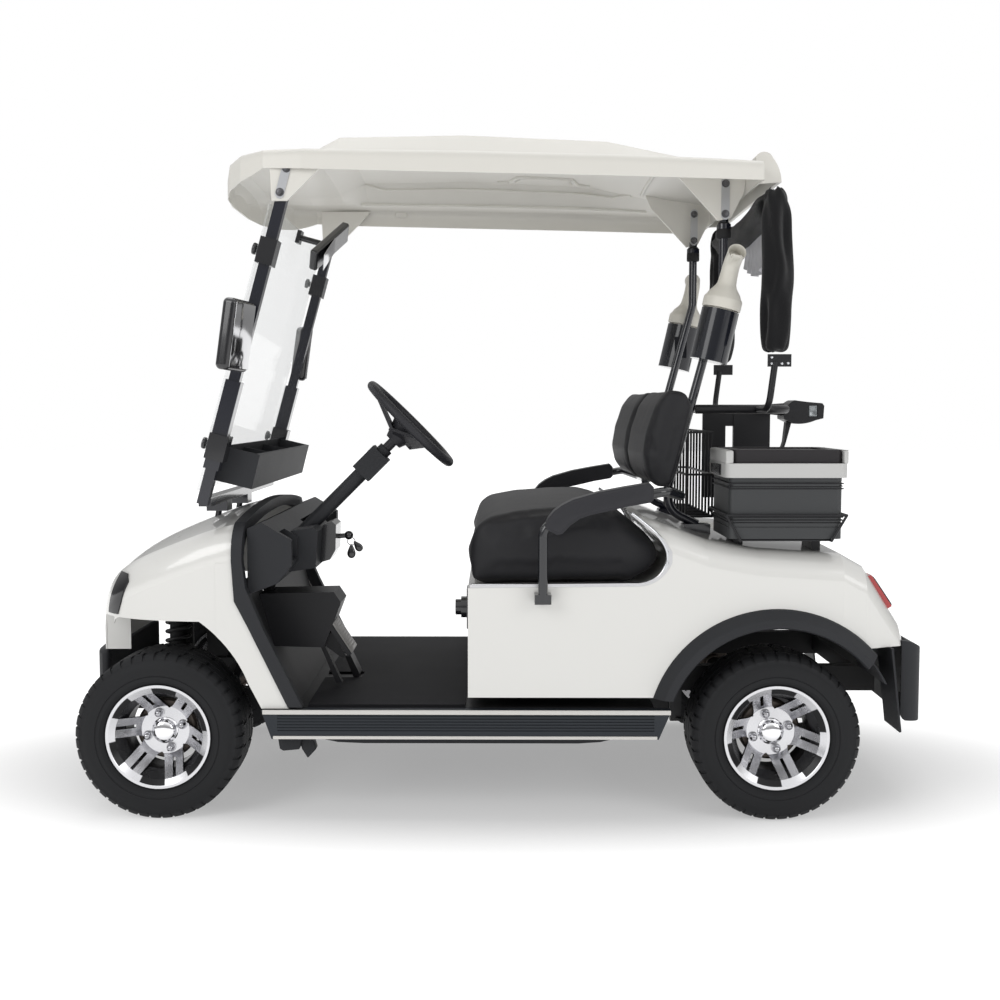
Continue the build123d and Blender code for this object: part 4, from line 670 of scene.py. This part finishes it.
def sand_bottle(side):
    rings = [
        # radius, height above the canister's foot
        (0.044, 0.1), (0.044, 0.1475), (0.053, 0.1485), (0.054, 0.152), (0.054, 0.174), (0.0525, 0.1785),
        (0.048, 0.184), (0.044, 0.193), (0.036, 0.203), (0.03, 0.211), (0.0262, 0.221), (0.0246, 0.24),
        (0.024, 0.253), (0.0238, 0.263), (0.0236, 0.273), (0.0236, 0.284), (0.024, 0.297), (0.025, 0.312),
        (0.0256, 0.323), (0.0244, 0.325), (0.0226, 0.323), (0.0216, 0.3), (0.0214, 0.29), (0.01, 0.2895),
    ]
    obj = turned_piece([(r, -h) for r, h in rings], 40)
    obj.data.transform(turn_by(-90, "X"))
    bend_top(obj, ((0.252, 12), (0.262, 13), (0.272, 13), (0.283, 13), (0.296, 12)), side * 0.014, side)
    lean = Vector((0.226, 0, 1)).normalized()
    turn = Vector((0, 0, 1)).rotation_difference(lean).to_matrix().to_4x4()
    obj.data.transform(Matrix.Translation((0.588, side * 0.3555, 1.246)) @ turn)
    return obj

paint(node["bottle_holders"], finish("canister_black", (0.01, 0.011, 0.016), 0.1, 400.0, 0.02))
settle(join(sand_bottle(-1), sand_bottle(1)), "bottle_tops", "bottle_cream", "bottle_plastic", "sand_bottles")

# %% [markdown]
# ## Rain cover
# Rolled up, the cover hangs behind the roof as two thick folds of black cloth joined by a roll. Each fold is pulled
# ring by ring from a wavy closed line, so its pleats wander as they fall, and a subdivision rounds them.

# %% Gathered cloth
def gathered(rings, pleats, depth, seed):
    """rings are (x, y, z, half width x, half width y), from the top down."""
    rng = random.Random(seed)
    phase = [rng.uniform(0, 6.28) for _ in range(4)]
    obj = add("circle", vertices=pleats * 6, radius=1.0, location=(0, 0, 0))
    edit(obj, "EDGE")
    bpy.ops.mesh.select_all(action="SELECT")
    for _ in rings[1:]:
        bpy.ops.mesh.extrude_edges_move(TRANSFORM_OT_translate={"value": (0, 0, -1)})
    done()
    for v in obj.data.vertices:
        row = min(int(round(-v.co.z)), len(rings) - 1)
        x, y, z, wx, wy = rings[row]
        a = math.atan2(v.co.y, v.co.x)
        drift = 0.45 * math.sin(row * 0.7 + phase[0]) + 0.2 * math.sin(row * 1.9 + phase[3])
        deep = depth * (0.65 + 0.35 * math.sin(2 * a + 0.8 * row + phase[1]))
        fold = 1 - deep * (0.5 + 0.5 * math.cos(pleats * (a + drift)))
        v.co = (x + wx * fold * math.cos(a), y + wy * fold * math.sin(a), z + 0.004 * math.sin(5 * a + phase[2]))
    for row, sign in ((rings[0], 1), (rings[-1], -1)):
        edit(obj, "EDGE")
        pick(obj, lambda c, n: abs(c.z - row[2]) < 0.006 and abs(n.z) < 0.5 * n.length, "edges")
        bpy.ops.mesh.extrude_edges_move(TRANSFORM_OT_translate={"value": (0, 0, sign * 0.005)})
        bpy.ops.transform.resize(value=(0.6, 0.6, 1), center_override=row[:3])
        bpy.ops.mesh.edge_face_add()
        done()
    outward(obj)
    subdivide(obj, 2)
    return obj

folds = []
for side in sides:
    rings = [(x, side * y, z, wx, wy) for x, y, z, wx, wy in (
        (0.752, 0.424, 1.706, 0.026, 0.03), (0.754, 0.426, 1.69, 0.038, 0.036), (0.757, 0.428, 1.65, 0.045, 0.038),
        (0.757, 0.43, 1.6, 0.044, 0.038), (0.758, 0.431, 1.55, 0.045, 0.039), (0.759, 0.432, 1.5, 0.047, 0.039),
        (0.76, 0.432, 1.45, 0.048, 0.039), (0.76, 0.432, 1.4, 0.048, 0.038), (0.76, 0.432, 1.35, 0.047, 0.038),
        (0.759, 0.432, 1.31, 0.045, 0.038), (0.757, 0.432, 1.274, 0.041, 0.036))]
    folds.append(gathered(rings, 5, 0.46, 5 + side))
cover = settle(join(*folds), "cover_folds", "cover_cloth", "cover_cloth", "bag_cover", angle=60)

# %% Cloth roll under the roof's rear edge
roll_rings = []
for k in range(15):
    y = -0.392 + 0.784 * k / 14
    sag = 0.03 * (1 - (y / 0.4) ** 2)
    swell = 0.003 * math.sin(1.3 * k)
    roll_rings.append((0.748, y, 1.672 - sag, 0.04 + swell, 0.048 + swell))
roll = gathered([(x, z, -y, wx, wz) for x, y, z, wx, wz in roll_rings], 5, 0.34, 11)
roll.data.transform(Matrix(((1, 0, 0, 0), (0, 0, -1, 0), (0, 1, 0, 0), (0, 0, 0, 1))))
settle(roll, "cover_roll", "cover_cloth", "cover_cloth", angle=60)

# %% [markdown]
# ## Lining of the cover
# Where the roll sags open its silvery rain lining hangs out below. It is one sheet of thin cloth: a grid whose
# points are moved into soft folds, hung by its upper edge from the roll.

# %% Lining
finish("silver_lining", (0.5, 0.5, 0.53), 0.4, 500.0, 0.2, group=woven, blotch=0.7, metal=0.35)

def hung_sheet(y0, y1, z_top, z_low, x_mid, waves, depth, seed):
    rng = random.Random(seed)
    phase = rng.uniform(0, 6.28)
    obj = add("grid", x_subdivisions=48, y_subdivisions=16, size=1.0, location=(0, 0, 0))
    for v in obj.data.vertices:
        across, fall = v.co.x + 0.5, 1 - (v.co.y + 0.5)
        low = z_low + 0.045 * (2 * across - 1) ** 2 + 0.004 * math.sin(9 * across + phase)
        x = x_mid + depth * fall * fall * math.sin(2 * math.pi * waves * across + phase + 1.2 * fall)
        v.co = (x, y0 + (y1 - y0) * across, z_top + (low - z_top) * fall)
    modify(obj, "SOLIDIFY", thickness=0.0008, offset=0.0)
    outward(obj)
    return obj

lining = hung_sheet(-0.345, -0.035, 1.618, 1.498, 0.75, 5.5, 0.009, 4)
settle(lining, "cover_lining", "silver_lining", "cover_cloth", angle=60)

# %% [markdown]
# ## Cooler
# The cooler's shell is dark below and pale round its rim. Both are one moulding here, so the finish changes by
# height: a mask read from the object's own Z turns the colour from dark to pale at the foot of the rim. Two raised
# ends and a small dark panel are bricks with rounded edges and a sunk face.

# %% Rounded bricks
def brick(low, high, bevel, steps=3):
    """A block between two corners with all its edges rounded."""
    size = [h - l for l, h in zip(low, high)]
    obj = add("cube", size=1.0, location=[(l + h) / 2 for l, h in zip(low, high)], scale=size)
    apply_place(obj)
    edit(obj, "EDGE")
    bpy.ops.mesh.select_all(action="SELECT")
    bpy.ops.mesh.bevel(offset=bevel, segments=steps, affect="EDGES")
    done()
    return obj

def sink(obj, test, border, depth):
    """Insets the faces for which test holds and pushes them in against their normals."""
    edit(obj)
    pick(obj, test)
    bpy.ops.mesh.inset(thickness=border, depth=0.0)
    bpy.ops.mesh.inset(thickness=min(border, depth) * 0.5, depth=-depth)
    done()

# %% Two-tone shell, raised ends and panel
rim_foot = 0.929          # height where the dark shell turns pale

finish("rim_cream", (0.5, 0.5, 0.49), 0.4, 800.0, 0.08, blotch=0.96)
cooler_two_tone = finish("cooler_two_tone", (0.5, 0.5, 0.49), 0.42, 800.0, 0.12, blotch=0.96)
mixed_by_mask(cooler_two_tone, (0.028, 0.03, 0.032),
              lambda nt: band(nt, position(nt)["Z"], rim_foot, rim_foot + 0.0006))
paint(node["cooler_body"], cooler_two_tone)

ends = []
for x0, x1 in ((0.604, 0.6245), (0.9178, 0.93)):
    end = brick((x0, -0.56, 0.9676), (x1, -0.296, 1.002), 0.0035)
    sink(end, lambda c, n: n.z > 0.9, 0.003, 0.0015)
    ends.append(end)
settle(join(*ends), "cooler_ends", "rim_cream", "cooler_plastic")
panel = brick((0.6005, -0.49, 0.934), (0.6045, -0.35, 0.964), 0.0016)
sink(panel, lambda c, n: n.x < -0.9, 0.004, 0.001)
settle(panel, "cooler_panel", "gloss_moulding", "gloss_black")

# %% [markdown]
# ## Bolts, straps and knobs
# Plates of bare metal hold the roof to its four posts. Each is drawn as an outline along the post and pulled to
# its thickness, and each has two hexagon bolts on washers. The bolt is modelled once, pointing to -Y, and copied
# with a matrix. The same goes for the round knobs that clamp the windscreen.

# %% Bolt
def hex_bolt(radius):
    washer = turned_piece([(radius * 0.5, 0.0), (radius * 1.45, 0.0), (radius * 1.5, -0.0006),
                           (radius * 1.42, -0.0014), (radius * 0.6, -0.0015)], 20)
    head = turned_piece([(radius * 0.95, -0.001), (radius, -0.0018), (radius, -0.0058), (radius * 0.9, -0.0068),
                         (radius * 0.55, -0.0072)], 6)
    return join(washer, head)

def facing(direction, place):
    """Turns a piece that points to -Y towards a direction and sets it at a place."""
    turn = Vector((0, -1, 0)).rotation_difference(Vector(direction).normalized()).to_matrix().to_4x4()
    return Matrix.Translation(place) @ turn

master_bolt = hex_bolt(0.0075)

# %% Roof straps
def strap(foot, head, half, y, thick):
    """A plate with cut corners along the line from foot to head, in the plane Y = y."""
    a, b = Vector((foot[0], 0, foot[1])), Vector((head[0], 0, head[1]))
    way = (b - a).normalized()
    across = Vector((way.z, 0, -way.x)) * half
    c = half * 0.6
    line = [a - across + way * c, a - across * 0.4, a + across * 0.4, a + across + way * c,
            b + across - way * c, b + across * 0.4, b - across * 0.4, b - across - way * c]
    return outline_plate([(p.x, y, p.z) for p in line], thick)

steel_bits, bolts = [], []
for side in sides:
    y_out = side * 0.5228
    steel_bits.append(strap((-0.584, 1.67), (-0.558, 1.764), 0.0115, y_out, side * 0.003))
    for x, z in ((-0.58, 1.686), (-0.562, 1.748)):
        bolts.append(copy_of(master_bolt, facing((0, side, 0), (x, y_out + side * 0.003, z))))
    for y, way in ((side * 0.3067, side), (side * 0.2722, -side)):
        steel_bits.append(strap((0.638, 1.644), (0.638, 1.76), 0.0115, y, way * 0.003))
        for z in (1.66, 1.744):
            bolts.append(copy_of(master_bolt, facing((0, way, 0), (0.638, y + way * 0.003, z))))
settle(join(*steel_bits), "roof_straps", "zinc", "rim_alloy", angle=30)
finish("bolt_steel", (0.16, 0.16, 0.17), 0.25, 400.0, 0.05, blotch=0.9, metal=1.0)
settle(join(*bolts), "strap_bolts", "bolt_steel", "rim_alloy", angle=30)
bpy.data.objects.remove(master_bolt)

# %% Windscreen knobs
foot_x, foot_z = -0.803, 0.855       # lower end of the windscreen's line
rise, lean = 0.823, 0.226            # from there to its upper end, up and back
screen_normal = Vector((-rise, 0, lean)).normalized()
master_knob = turned_piece([(0.006, 0.0), (0.0095, 0.0), (0.01, -0.004), (0.015, -0.005), (0.0162, -0.007),
                            (0.0162, -0.0125), (0.015, -0.015), (0.009, -0.0166), (0.005, -0.016)], 24)
spots = [Vector((foot_x + lean * (z - foot_z) / rise, side * 0.486, z)) + screen_normal * 0.03
         for side in sides for z in (1.01, 1.532)]
settle_copies(master_knob, [facing(screen_normal, spot) for spot in spots], "screen_knobs", "gloss_moulding",
              "gloss_black")
bpy.data.objects.remove(master_knob)

# %% [markdown]
# ## Mirrors
# A mirror is a pale, almost perfect metal face set just inside the rim of its black shell. The faces are thin
# rounded bricks placed with the same turn as the shells.

# %% Mirror faces
finish("silvered", (0.6, 0.6, 0.61), 0.1, 200.0, 0.0, blotch=0.99, spread=0.01, metal=1.0)
faces = []
for side in sides:
    face = brick((0.0196, -0.05, -0.085), (0.0216, 0.05, 0.085), 0.0009, 2)
    turn = turn_by(8, "Y") @ turn_by(side * 18, "Z")
    face.data.transform(Matrix.Translation((-0.692, side * 0.578, 1.306)) @ turn)
    faces.append(face)
long_way = Vector((-49, -240, -148)).normalized()
looks = Vector((0.93, -0.19, -0.3))
looks = (looks - long_way * looks.dot(long_way)).normalized()
across_way = looks.cross(long_way)
cabin = brick((-0.112, -0.027, 0.0128), (0.112, 0.027, 0.0145), 0.0008, 2)
turn = Matrix((long_way, across_way, looks)).transposed().to_4x4()
cabin.data.transform(Matrix.Translation((-0.516, 0.0, 1.61)) @ turn)
faces.append(cabin)
settle(join(*faces), "mirror_faces", "silvered", "mirror_glass")

# %% [markdown]
# ## Sills
# Two pale extruded strips edge each running board, above and below its ribs.

# %% Sill strips
strips = []
for side in sides:
    y0, y1 = sorted((side * 0.5655, side * 0.569))
    strips.append(brick((-0.636, y0, 0.2915), (0.464, y1, 0.304), 0.0014, 2))
    strips.append(brick((-0.608, y0, 0.2242), (0.428, y1, 0.233), 0.0014, 2))
finish("strip_grey", (0.6, 0.585, 0.56), 0.35, 900.0, 0.05, blotch=0.97, metal=0.15)
settle(join(*strips), "sill_strips", "strip_grey", "bright_trim")

# %% [markdown]
# ## Armrest pads
# Each pad is a soft rubber moulding, rounded above and flat below, that follows the bend of its tube. Its side
# outline is pulled across, its edges are rounded wide, and a fine line is pressed into both sides.

# %% Armrest pads
def armrest_pad(side):
    outline = [
        # x, z along the top from the front, then back below
        (0.121, 0.806), (0.13, 0.826), (0.146, 0.846), (0.168, 0.862), (0.196, 0.876), (0.262, 0.895),
        (0.33, 0.908), (0.396, 0.919), (0.406, 0.908), (0.406, 0.876), (0.398, 0.868), (0.34, 0.858),
        (0.29, 0.846), (0.244, 0.836), (0.214, 0.826), (0.188, 0.808), (0.168, 0.786), (0.154, 0.783),
        (0.14, 0.79), (0.128, 0.796),
    ]
    obj = outline_plate([(x, 0.567, z) for x, z in outline], 0.056)
    edit(obj)
    pick(obj, lambda c, n: abs(n.y) > 0.9)
    bpy.ops.mesh.inset(thickness=0.006, depth=0.0)
    bpy.ops.mesh.inset(thickness=0.0012, depth=-0.0008)
    bpy.ops.mesh.inset(thickness=0.0012, depth=0.0008)
    done()
    round_edges(obj, 0.01, 4, 60)
    if side < 0:
        obj.data.transform(Matrix.Scale(-1, 4, (0, 1, 0)))
        outward(obj)
    return obj

pads = join(armrest_pad(-1), armrest_pad(1))
settle(pads, "armrest_rubber", "grip_rubber", "black_plastic", "armrest_pads", angle=50)
print("armrest pads:", len(pads.data.polygons), "faces")

# %% [markdown]
# ## Front springs
# Behind each front wheel a coil stands round the damper. It is a helix drawn as a smooth line and given a round
# section.

# %% Coil springs
def coil(foot, head, radius, turns, wire):
    way = head - foot
    turn = Vector((0, 0, 1)).rotation_difference(way.normalized()).to_matrix()
    points = []
    per_turn = 10
    count = turns * per_turn
    for k in range(count + 1):
        a = 2 * math.pi * k / per_turn
        points.append(foot + turn @ Vector((radius * math.cos(a), radius * math.sin(a), way.length * k / count)))
    return pipe(points, wire)

coils = []
for side in sides:
    foot, head = Vector((-0.9247, side * 0.303, 0.405)), Vector((-0.9278, side * 0.2835, 0.535))
    coils.append(coil(foot, head, 0.034, 5, 0.005))
settle(join(*coils), "coil_springs", "spring_black", "spring_steel", angle=50)

# %% [markdown]
# ## Brake pedal tread
# The brake pedal carries a pale ribbed plate. One brick lies along the slope of the pedal, and a rib is copied
# along it.

# %% Brake tread
def along_pedal(low, high, bevel):
    """A brick in the pedal's own frame: X down its slope, Z out of its face."""
    obj = brick(low, high, bevel, 2)
    down = Vector((0.547, 0, -0.837))
    out = Vector((0.837, 0, 0.547))
    turn = Matrix((down, out.cross(down), out)).transposed().to_4x4()
    obj.data.transform(Matrix.Translation((-0.486, -0.265, 0.513)) @ turn)
    return obj

tread_bits = [along_pedal((0.002, -0.064, 0.0003), (0.119, 0.064, 0.003), 0.0012)]
for k in range(11):
    x = 0.012 + 0.0094 * k
    tread_bits.append(along_pedal((x, -0.056, 0.0026), (x + 0.004, 0.056, 0.0046), 0.0008))
settle(join(*tread_bits), "brake_tread", "pedal_alloy", "pedal_metal")

# %% [markdown]
# ## Front bumper
# The bumper is a hollow moulding, thick and rounded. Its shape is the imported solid's: a plan outline bowed over the
# nose, pulled up to its height and rounded along its upper and lower edges.

# %% Bumper shell
outer_half = [(-1.13, 0.284), (-1.152, 0.282), (-1.165, 0.268), (-1.174, 0.24), (-1.18, 0.17),
              (-1.1838, 0.08)]
inner_half = [(-1.14, 0.23), (-1.13, 0.26)]
plan = [(x, -y) for x, y in outer_half] + [(-1.1846, 0.0)] + outer_half[::-1] + inner_half[::-1]
plan += [(-1.144, 0.0)] + [(x, -y) for x, y in inner_half]
bumper = outline_plate([(x, y, 0.25) for x, y in plan], 0.166, (0, 0, 1))
round_edges(bumper, 0.016, 4, 60)
brackets = brick((-1.142, -0.226, 0.3), (-1.106, 0.226, 0.33), 0.004, 2)
settle(join(bumper, brackets), "bumper_shell", "dark_moulding", "black_plastic", "front_bumper")

# %% [markdown]
# ## Under the roof
# The inside of the roof is a glossy moulding with raised beads. Each bead is a round line laid on the surface: a ray
# cast straight up finds the height of the roof above every point of its path, so the bead follows the crown.

# %% Roof beads
def under_roof(x, y):
    hit, spot, *_ = node["roof"].ray_cast(Vector((x, y, 1.7)), Vector((0, 0, 1)))
    return spot.z if hit else 1.79

def bead(path, radius, lift=0.0):
    """A round line along plan points, pressed into the roof's inner face."""
    plan = [(xa + (xb - xa) * k / 6, ya + (yb - ya) * k / 6)
            for (xa, ya), (xb, yb) in zip(path, path[1:]) for k in range(6)]
    return pipe([(x, y, under_roof(x, y) - lift) for x, y in plan + [path[-1]]], radius)

bead_paths = (
    # radius, lift, points of the path
    (0.006, 0.0, [(-0.46, 0.425), (0.5, 0.425)]),
    (0.005, 0.0, [(-0.44, 0.355), (-0.38, 0.375), (0.38, 0.375), (0.44, 0.345)]),
    (0.0075, 0.001, [(0.0, 0.33), (0.04, 0.318), (0.065, 0.235), (0.235, 0.235), (0.26, 0.318), (0.3, 0.33)]),
    (0.0045, 0.001, [(0.06, 0.318), (0.08, 0.255), (0.22, 0.255), (0.24, 0.318)]),
)
beads = [bead([(x, side * y) for x, y in path], radius, lift)
         for side in sides for radius, lift, path in bead_paths]
beads.append(bead([(0.47, -0.3), (0.47, 0.3)], 0.0055))
settle(join(*beads), "roof_beads", "roof_skin", "roof_plastic", angle=60)

# %% Tabs under the skirts and collars on the rear posts
tabs = []
for side in sides:
    y0, y1 = sorted((side * 0.525, side * 0.533))
    edge = under_roof(-0.334, side * 0.529)
    tabs.append(brick((-0.353, y0, edge - 0.012), (-0.315, y1, edge + 0.006), 0.0024, 2))
    print("skirt edge above the tab at", round(edge, 4))
settle(join(*tabs), "skirt_tabs", "roof_skin", "roof_plastic")

collars = []
for side in sides:
    sleeve = turned_piece([(0.0126, 0.0), (0.019, 0.0), (0.0205, -0.003), (0.0205, -0.025), (0.018, -0.03),
                           (0.0165, -0.044), (0.0126, -0.046)], 24, close_ends=False)
    outward(sleeve)
    upright = turn_by(-90, "X")
    sleeve.data.transform(Matrix.Translation((0.638, side * 0.285, 1.594)) @ upright)
    collars.append(sleeve)
settle(join(*collars), "post_collars", "cast_black", "black_plastic")

# %% [markdown]
# ## Cover hinges
# Bright round rivets, smaller than a bolt and domed, hold the cover's hinge plates to their arms.

# %% Rivets
rivet = turned_piece([(0.00294, 0.001), (0.0042, 0.0), (0.0042, -0.0008), (0.003612, -0.002), (0.0021, -0.0028)], 16)
places = [facing((0, side, 0), (x, side * 0.4422, z)) for side in sides
          for x, z in ((0.7465, 1.253), (0.7465, 1.236), (0.774, 1.236), (0.791, 1.237))]
settle_copies(rivet, places, "hinge_rivets", "zinc", "rim_alloy")
bpy.data.objects.remove(rivet)

# %% [markdown]
# ## Under the sills
# A belly tray closes the space between the sills, and its rounded edge shows below them. In front of it a bracket
# carries a small stone flap.

# %% Belly edge, brackets and stone flaps
belly = []
for side in sides:
    for y, thick, line in (
        (0.455, 0.048, [(-0.505, 0.226), (-0.485, 0.208), (-0.44, 0.199), (-0.37, 0.196), (0.22, 0.196),
                          (0.28, 0.2), (0.33, 0.212), (0.34, 0.226)]),
        (0.47, 0.05, [(-0.604, 0.223), (-0.598, 0.184), (-0.588, 0.179), (-0.544, 0.183), (-0.536, 0.223)]),
        (0.478, 0.032, [(-0.548, 0.223), (-0.539, 0.182), (-0.523, 0.156), (-0.499, 0.182), (-0.51, 0.223)]),
    ):
        belly.append(outline_plate([(x, side * y, z) for x, z in line], side * thick))
belly_edge = join(*belly)
round_edges(belly_edge, 0.003, 2, 50)
settle(belly_edge, "belly_edge", "dark_moulding", "black_plastic")

# %% [markdown]
# ## Key fobs and reflectors
# A ring and two black leather drops hang from the key, and the strap housing has a pale reflector set in each side.

# %% Key fobs
def fob(length, radius):
    """A flattened drop that hangs from its narrow end."""
    obj = turned_piece([(0.002, 0.0), (0.0036, -0.003), (radius * 0.62, -length * 0.3),
                        (radius * 0.92, -length * 0.52), (radius, -length * 0.7), (radius * 0.8, -length * 0.88),
                        (radius * 0.35, -length)], 24)
    obj.data.transform(turn_by(90, "X"))
    obj.data.transform(Matrix.Scale(0.45, 4, (0, 1, 0)))
    subdivide(obj, 1)
    return obj

hanging = fob(0.042, 0.013)
hanging.data.transform(Matrix.Translation((-0.429, -0.24, 0.719)))
second = fob(0.036, 0.012)
second.data.transform(Matrix.Translation((-0.421, -0.244, 0.728)) @ turn_by(-38, "Y"))
ring = add("torus", major_radius=0.011, minor_radius=0.0011, major_segments=28, minor_segments=8,
           location=(-0.429, -0.24, 0.727), rotation=(math.radians(90), 0, 0))
settle(join(hanging, second), "key_fobs", "gloss_moulding", "gloss_black", angle=50)
settle(ring, "key_ring", "bolt_steel", "rim_alloy", angle=60)

# %% Reflectors
reflectors = []
for side in sides:
    y0, y1 = sorted((side * 0.0424, side * 0.0452))
    glass = brick((0.9455, y0, 1.09), (0.9705, y1, 1.1225), 0.001, 2)
    sink(glass, lambda c, n: n.y * side > 0.9, 0.003, 0.001)
    reflectors.append(glass)
finish("prism_clear", (0.3, 0.32, 0.33), 0.12, 180.0, 0.4, blotch=0.8, metal=0.4)
settle(join(*reflectors), "housing_reflectors", "prism_clear", "lamp_lens")

# %% [markdown]
# ## Rail and ribs
# A polished rail runs along the body's edge under the bench and curls up behind it. Thin black ribs ring the cooler
# in two bands, each made of four bricks that meet at the corners.

# %% Seat rail
finish("polished_rail", (0.64, 0.65, 0.67), 0.2, 300.0, 0.04, blotch=0.92, metal=1.0)
rail_line = [(-0.072, 0.64), (0.1, 0.64), (0.34, 0.64), (0.39, 0.643), (0.428, 0.66), (0.448, 0.688),
             (0.456, 0.718), (0.448, 0.748), (0.425, 0.778), (0.392, 0.806), (0.356, 0.834)]
rails = [pipe([(x, side * 0.551, z) for x, z in rail_line], 0.0052) for side in sides]
settle(join(*rails), "seat_rails", "polished_rail", "bright_trim", angle=60)

# %% Cooler ribs
def shell_box(z, proud):
    """Where the cooler's four walls stand at a height, found by rays from outside, plus how far a rib stands out."""
    ray = node["cooler_body"].ray_cast
    x0 = ray(Vector((0.4, -0.42, z)), Vector((1, 0, 0)))[1].x
    x1 = ray(Vector((1.2, -0.42, z)), Vector((-1, 0, 0)))[1].x
    y0 = ray(Vector((0.76, -0.8, z)), Vector((0, 1, 0)))[1].y
    y1 = ray(Vector((0.76, 0.0, z)), Vector((0, -1, 0)))[1].y
    return x0 - proud, x1 + proud, y0 - proud, y1 + proud

ribs = []
wall = 0.006
for z in (0.913, 0.906, 0.899, 0.823, 0.815, 0.807):
    x0, x1, y0, y1 = shell_box(z + 0.0016, 0.002)
    for low, high in (((x0, y0), (x1, y0 + wall)), ((x0, y1 - wall), (x1, y1)),
                      ((x0, y0 + wall), (x0 + wall, y1 - wall)), ((x1 - wall, y0 + wall), (x1, y1 - wall))):
        ribs.append(brick((*low, z), (*high, z + 0.0032), 0.0008, 1))
print("cooler ribs round", [round(v, 4) for v in (x0, x1, y0, y1)])
settle(join(*ribs), "cooler_ribs", "rack_black", "cooler_plastic")

# %% [markdown]
# ## Tail lamps
# A black bezel frames each red lens and three bars cross it. Rays cast from behind find the lens, so both lie on it.

# %% Tail lamp bezels and bars
def lens_point(y, z):
    hit, spot, *_ = node["tail_lamps"].ray_cast(Vector((1.3, y, z)), Vector((-1, 0, 0)))
    return spot if hit else None

bezels, bars = [], []
for side in sides:
    wide = [y for y in (0.36 + 0.002 * k for k in range(64)) if lens_point(side * y, 0.6135)]
    y0, y1 = min(wide) + 0.004, max(wide) - 0.004
    frame_line = [(y0, 0.575), (y0, 0.652), (y1, 0.652), (y1, 0.575), (y0, 0.575)]
    points = [lens_point(side * y, z) for y, z in frame_line]
    bezels.append(pipe([p for p in points if p], 0.0038, steps=2, order=2))
    for z in (0.594, 0.6135, 0.633):
        tips = [lens_point(side * y, z) for y in (y0, y1)]
        bars.append(pipe([p for p in tips if p], 0.0024, steps=2, order=2))
    print("tail lens from", round(y0, 3), "to", round(y1, 3))
settle(join(*bezels), "tail_bezels", "gloss_moulding", "gloss_black", angle=60)
settle(join(*bars), "tail_bars", "tail_red", "tail_lens", angle=60)
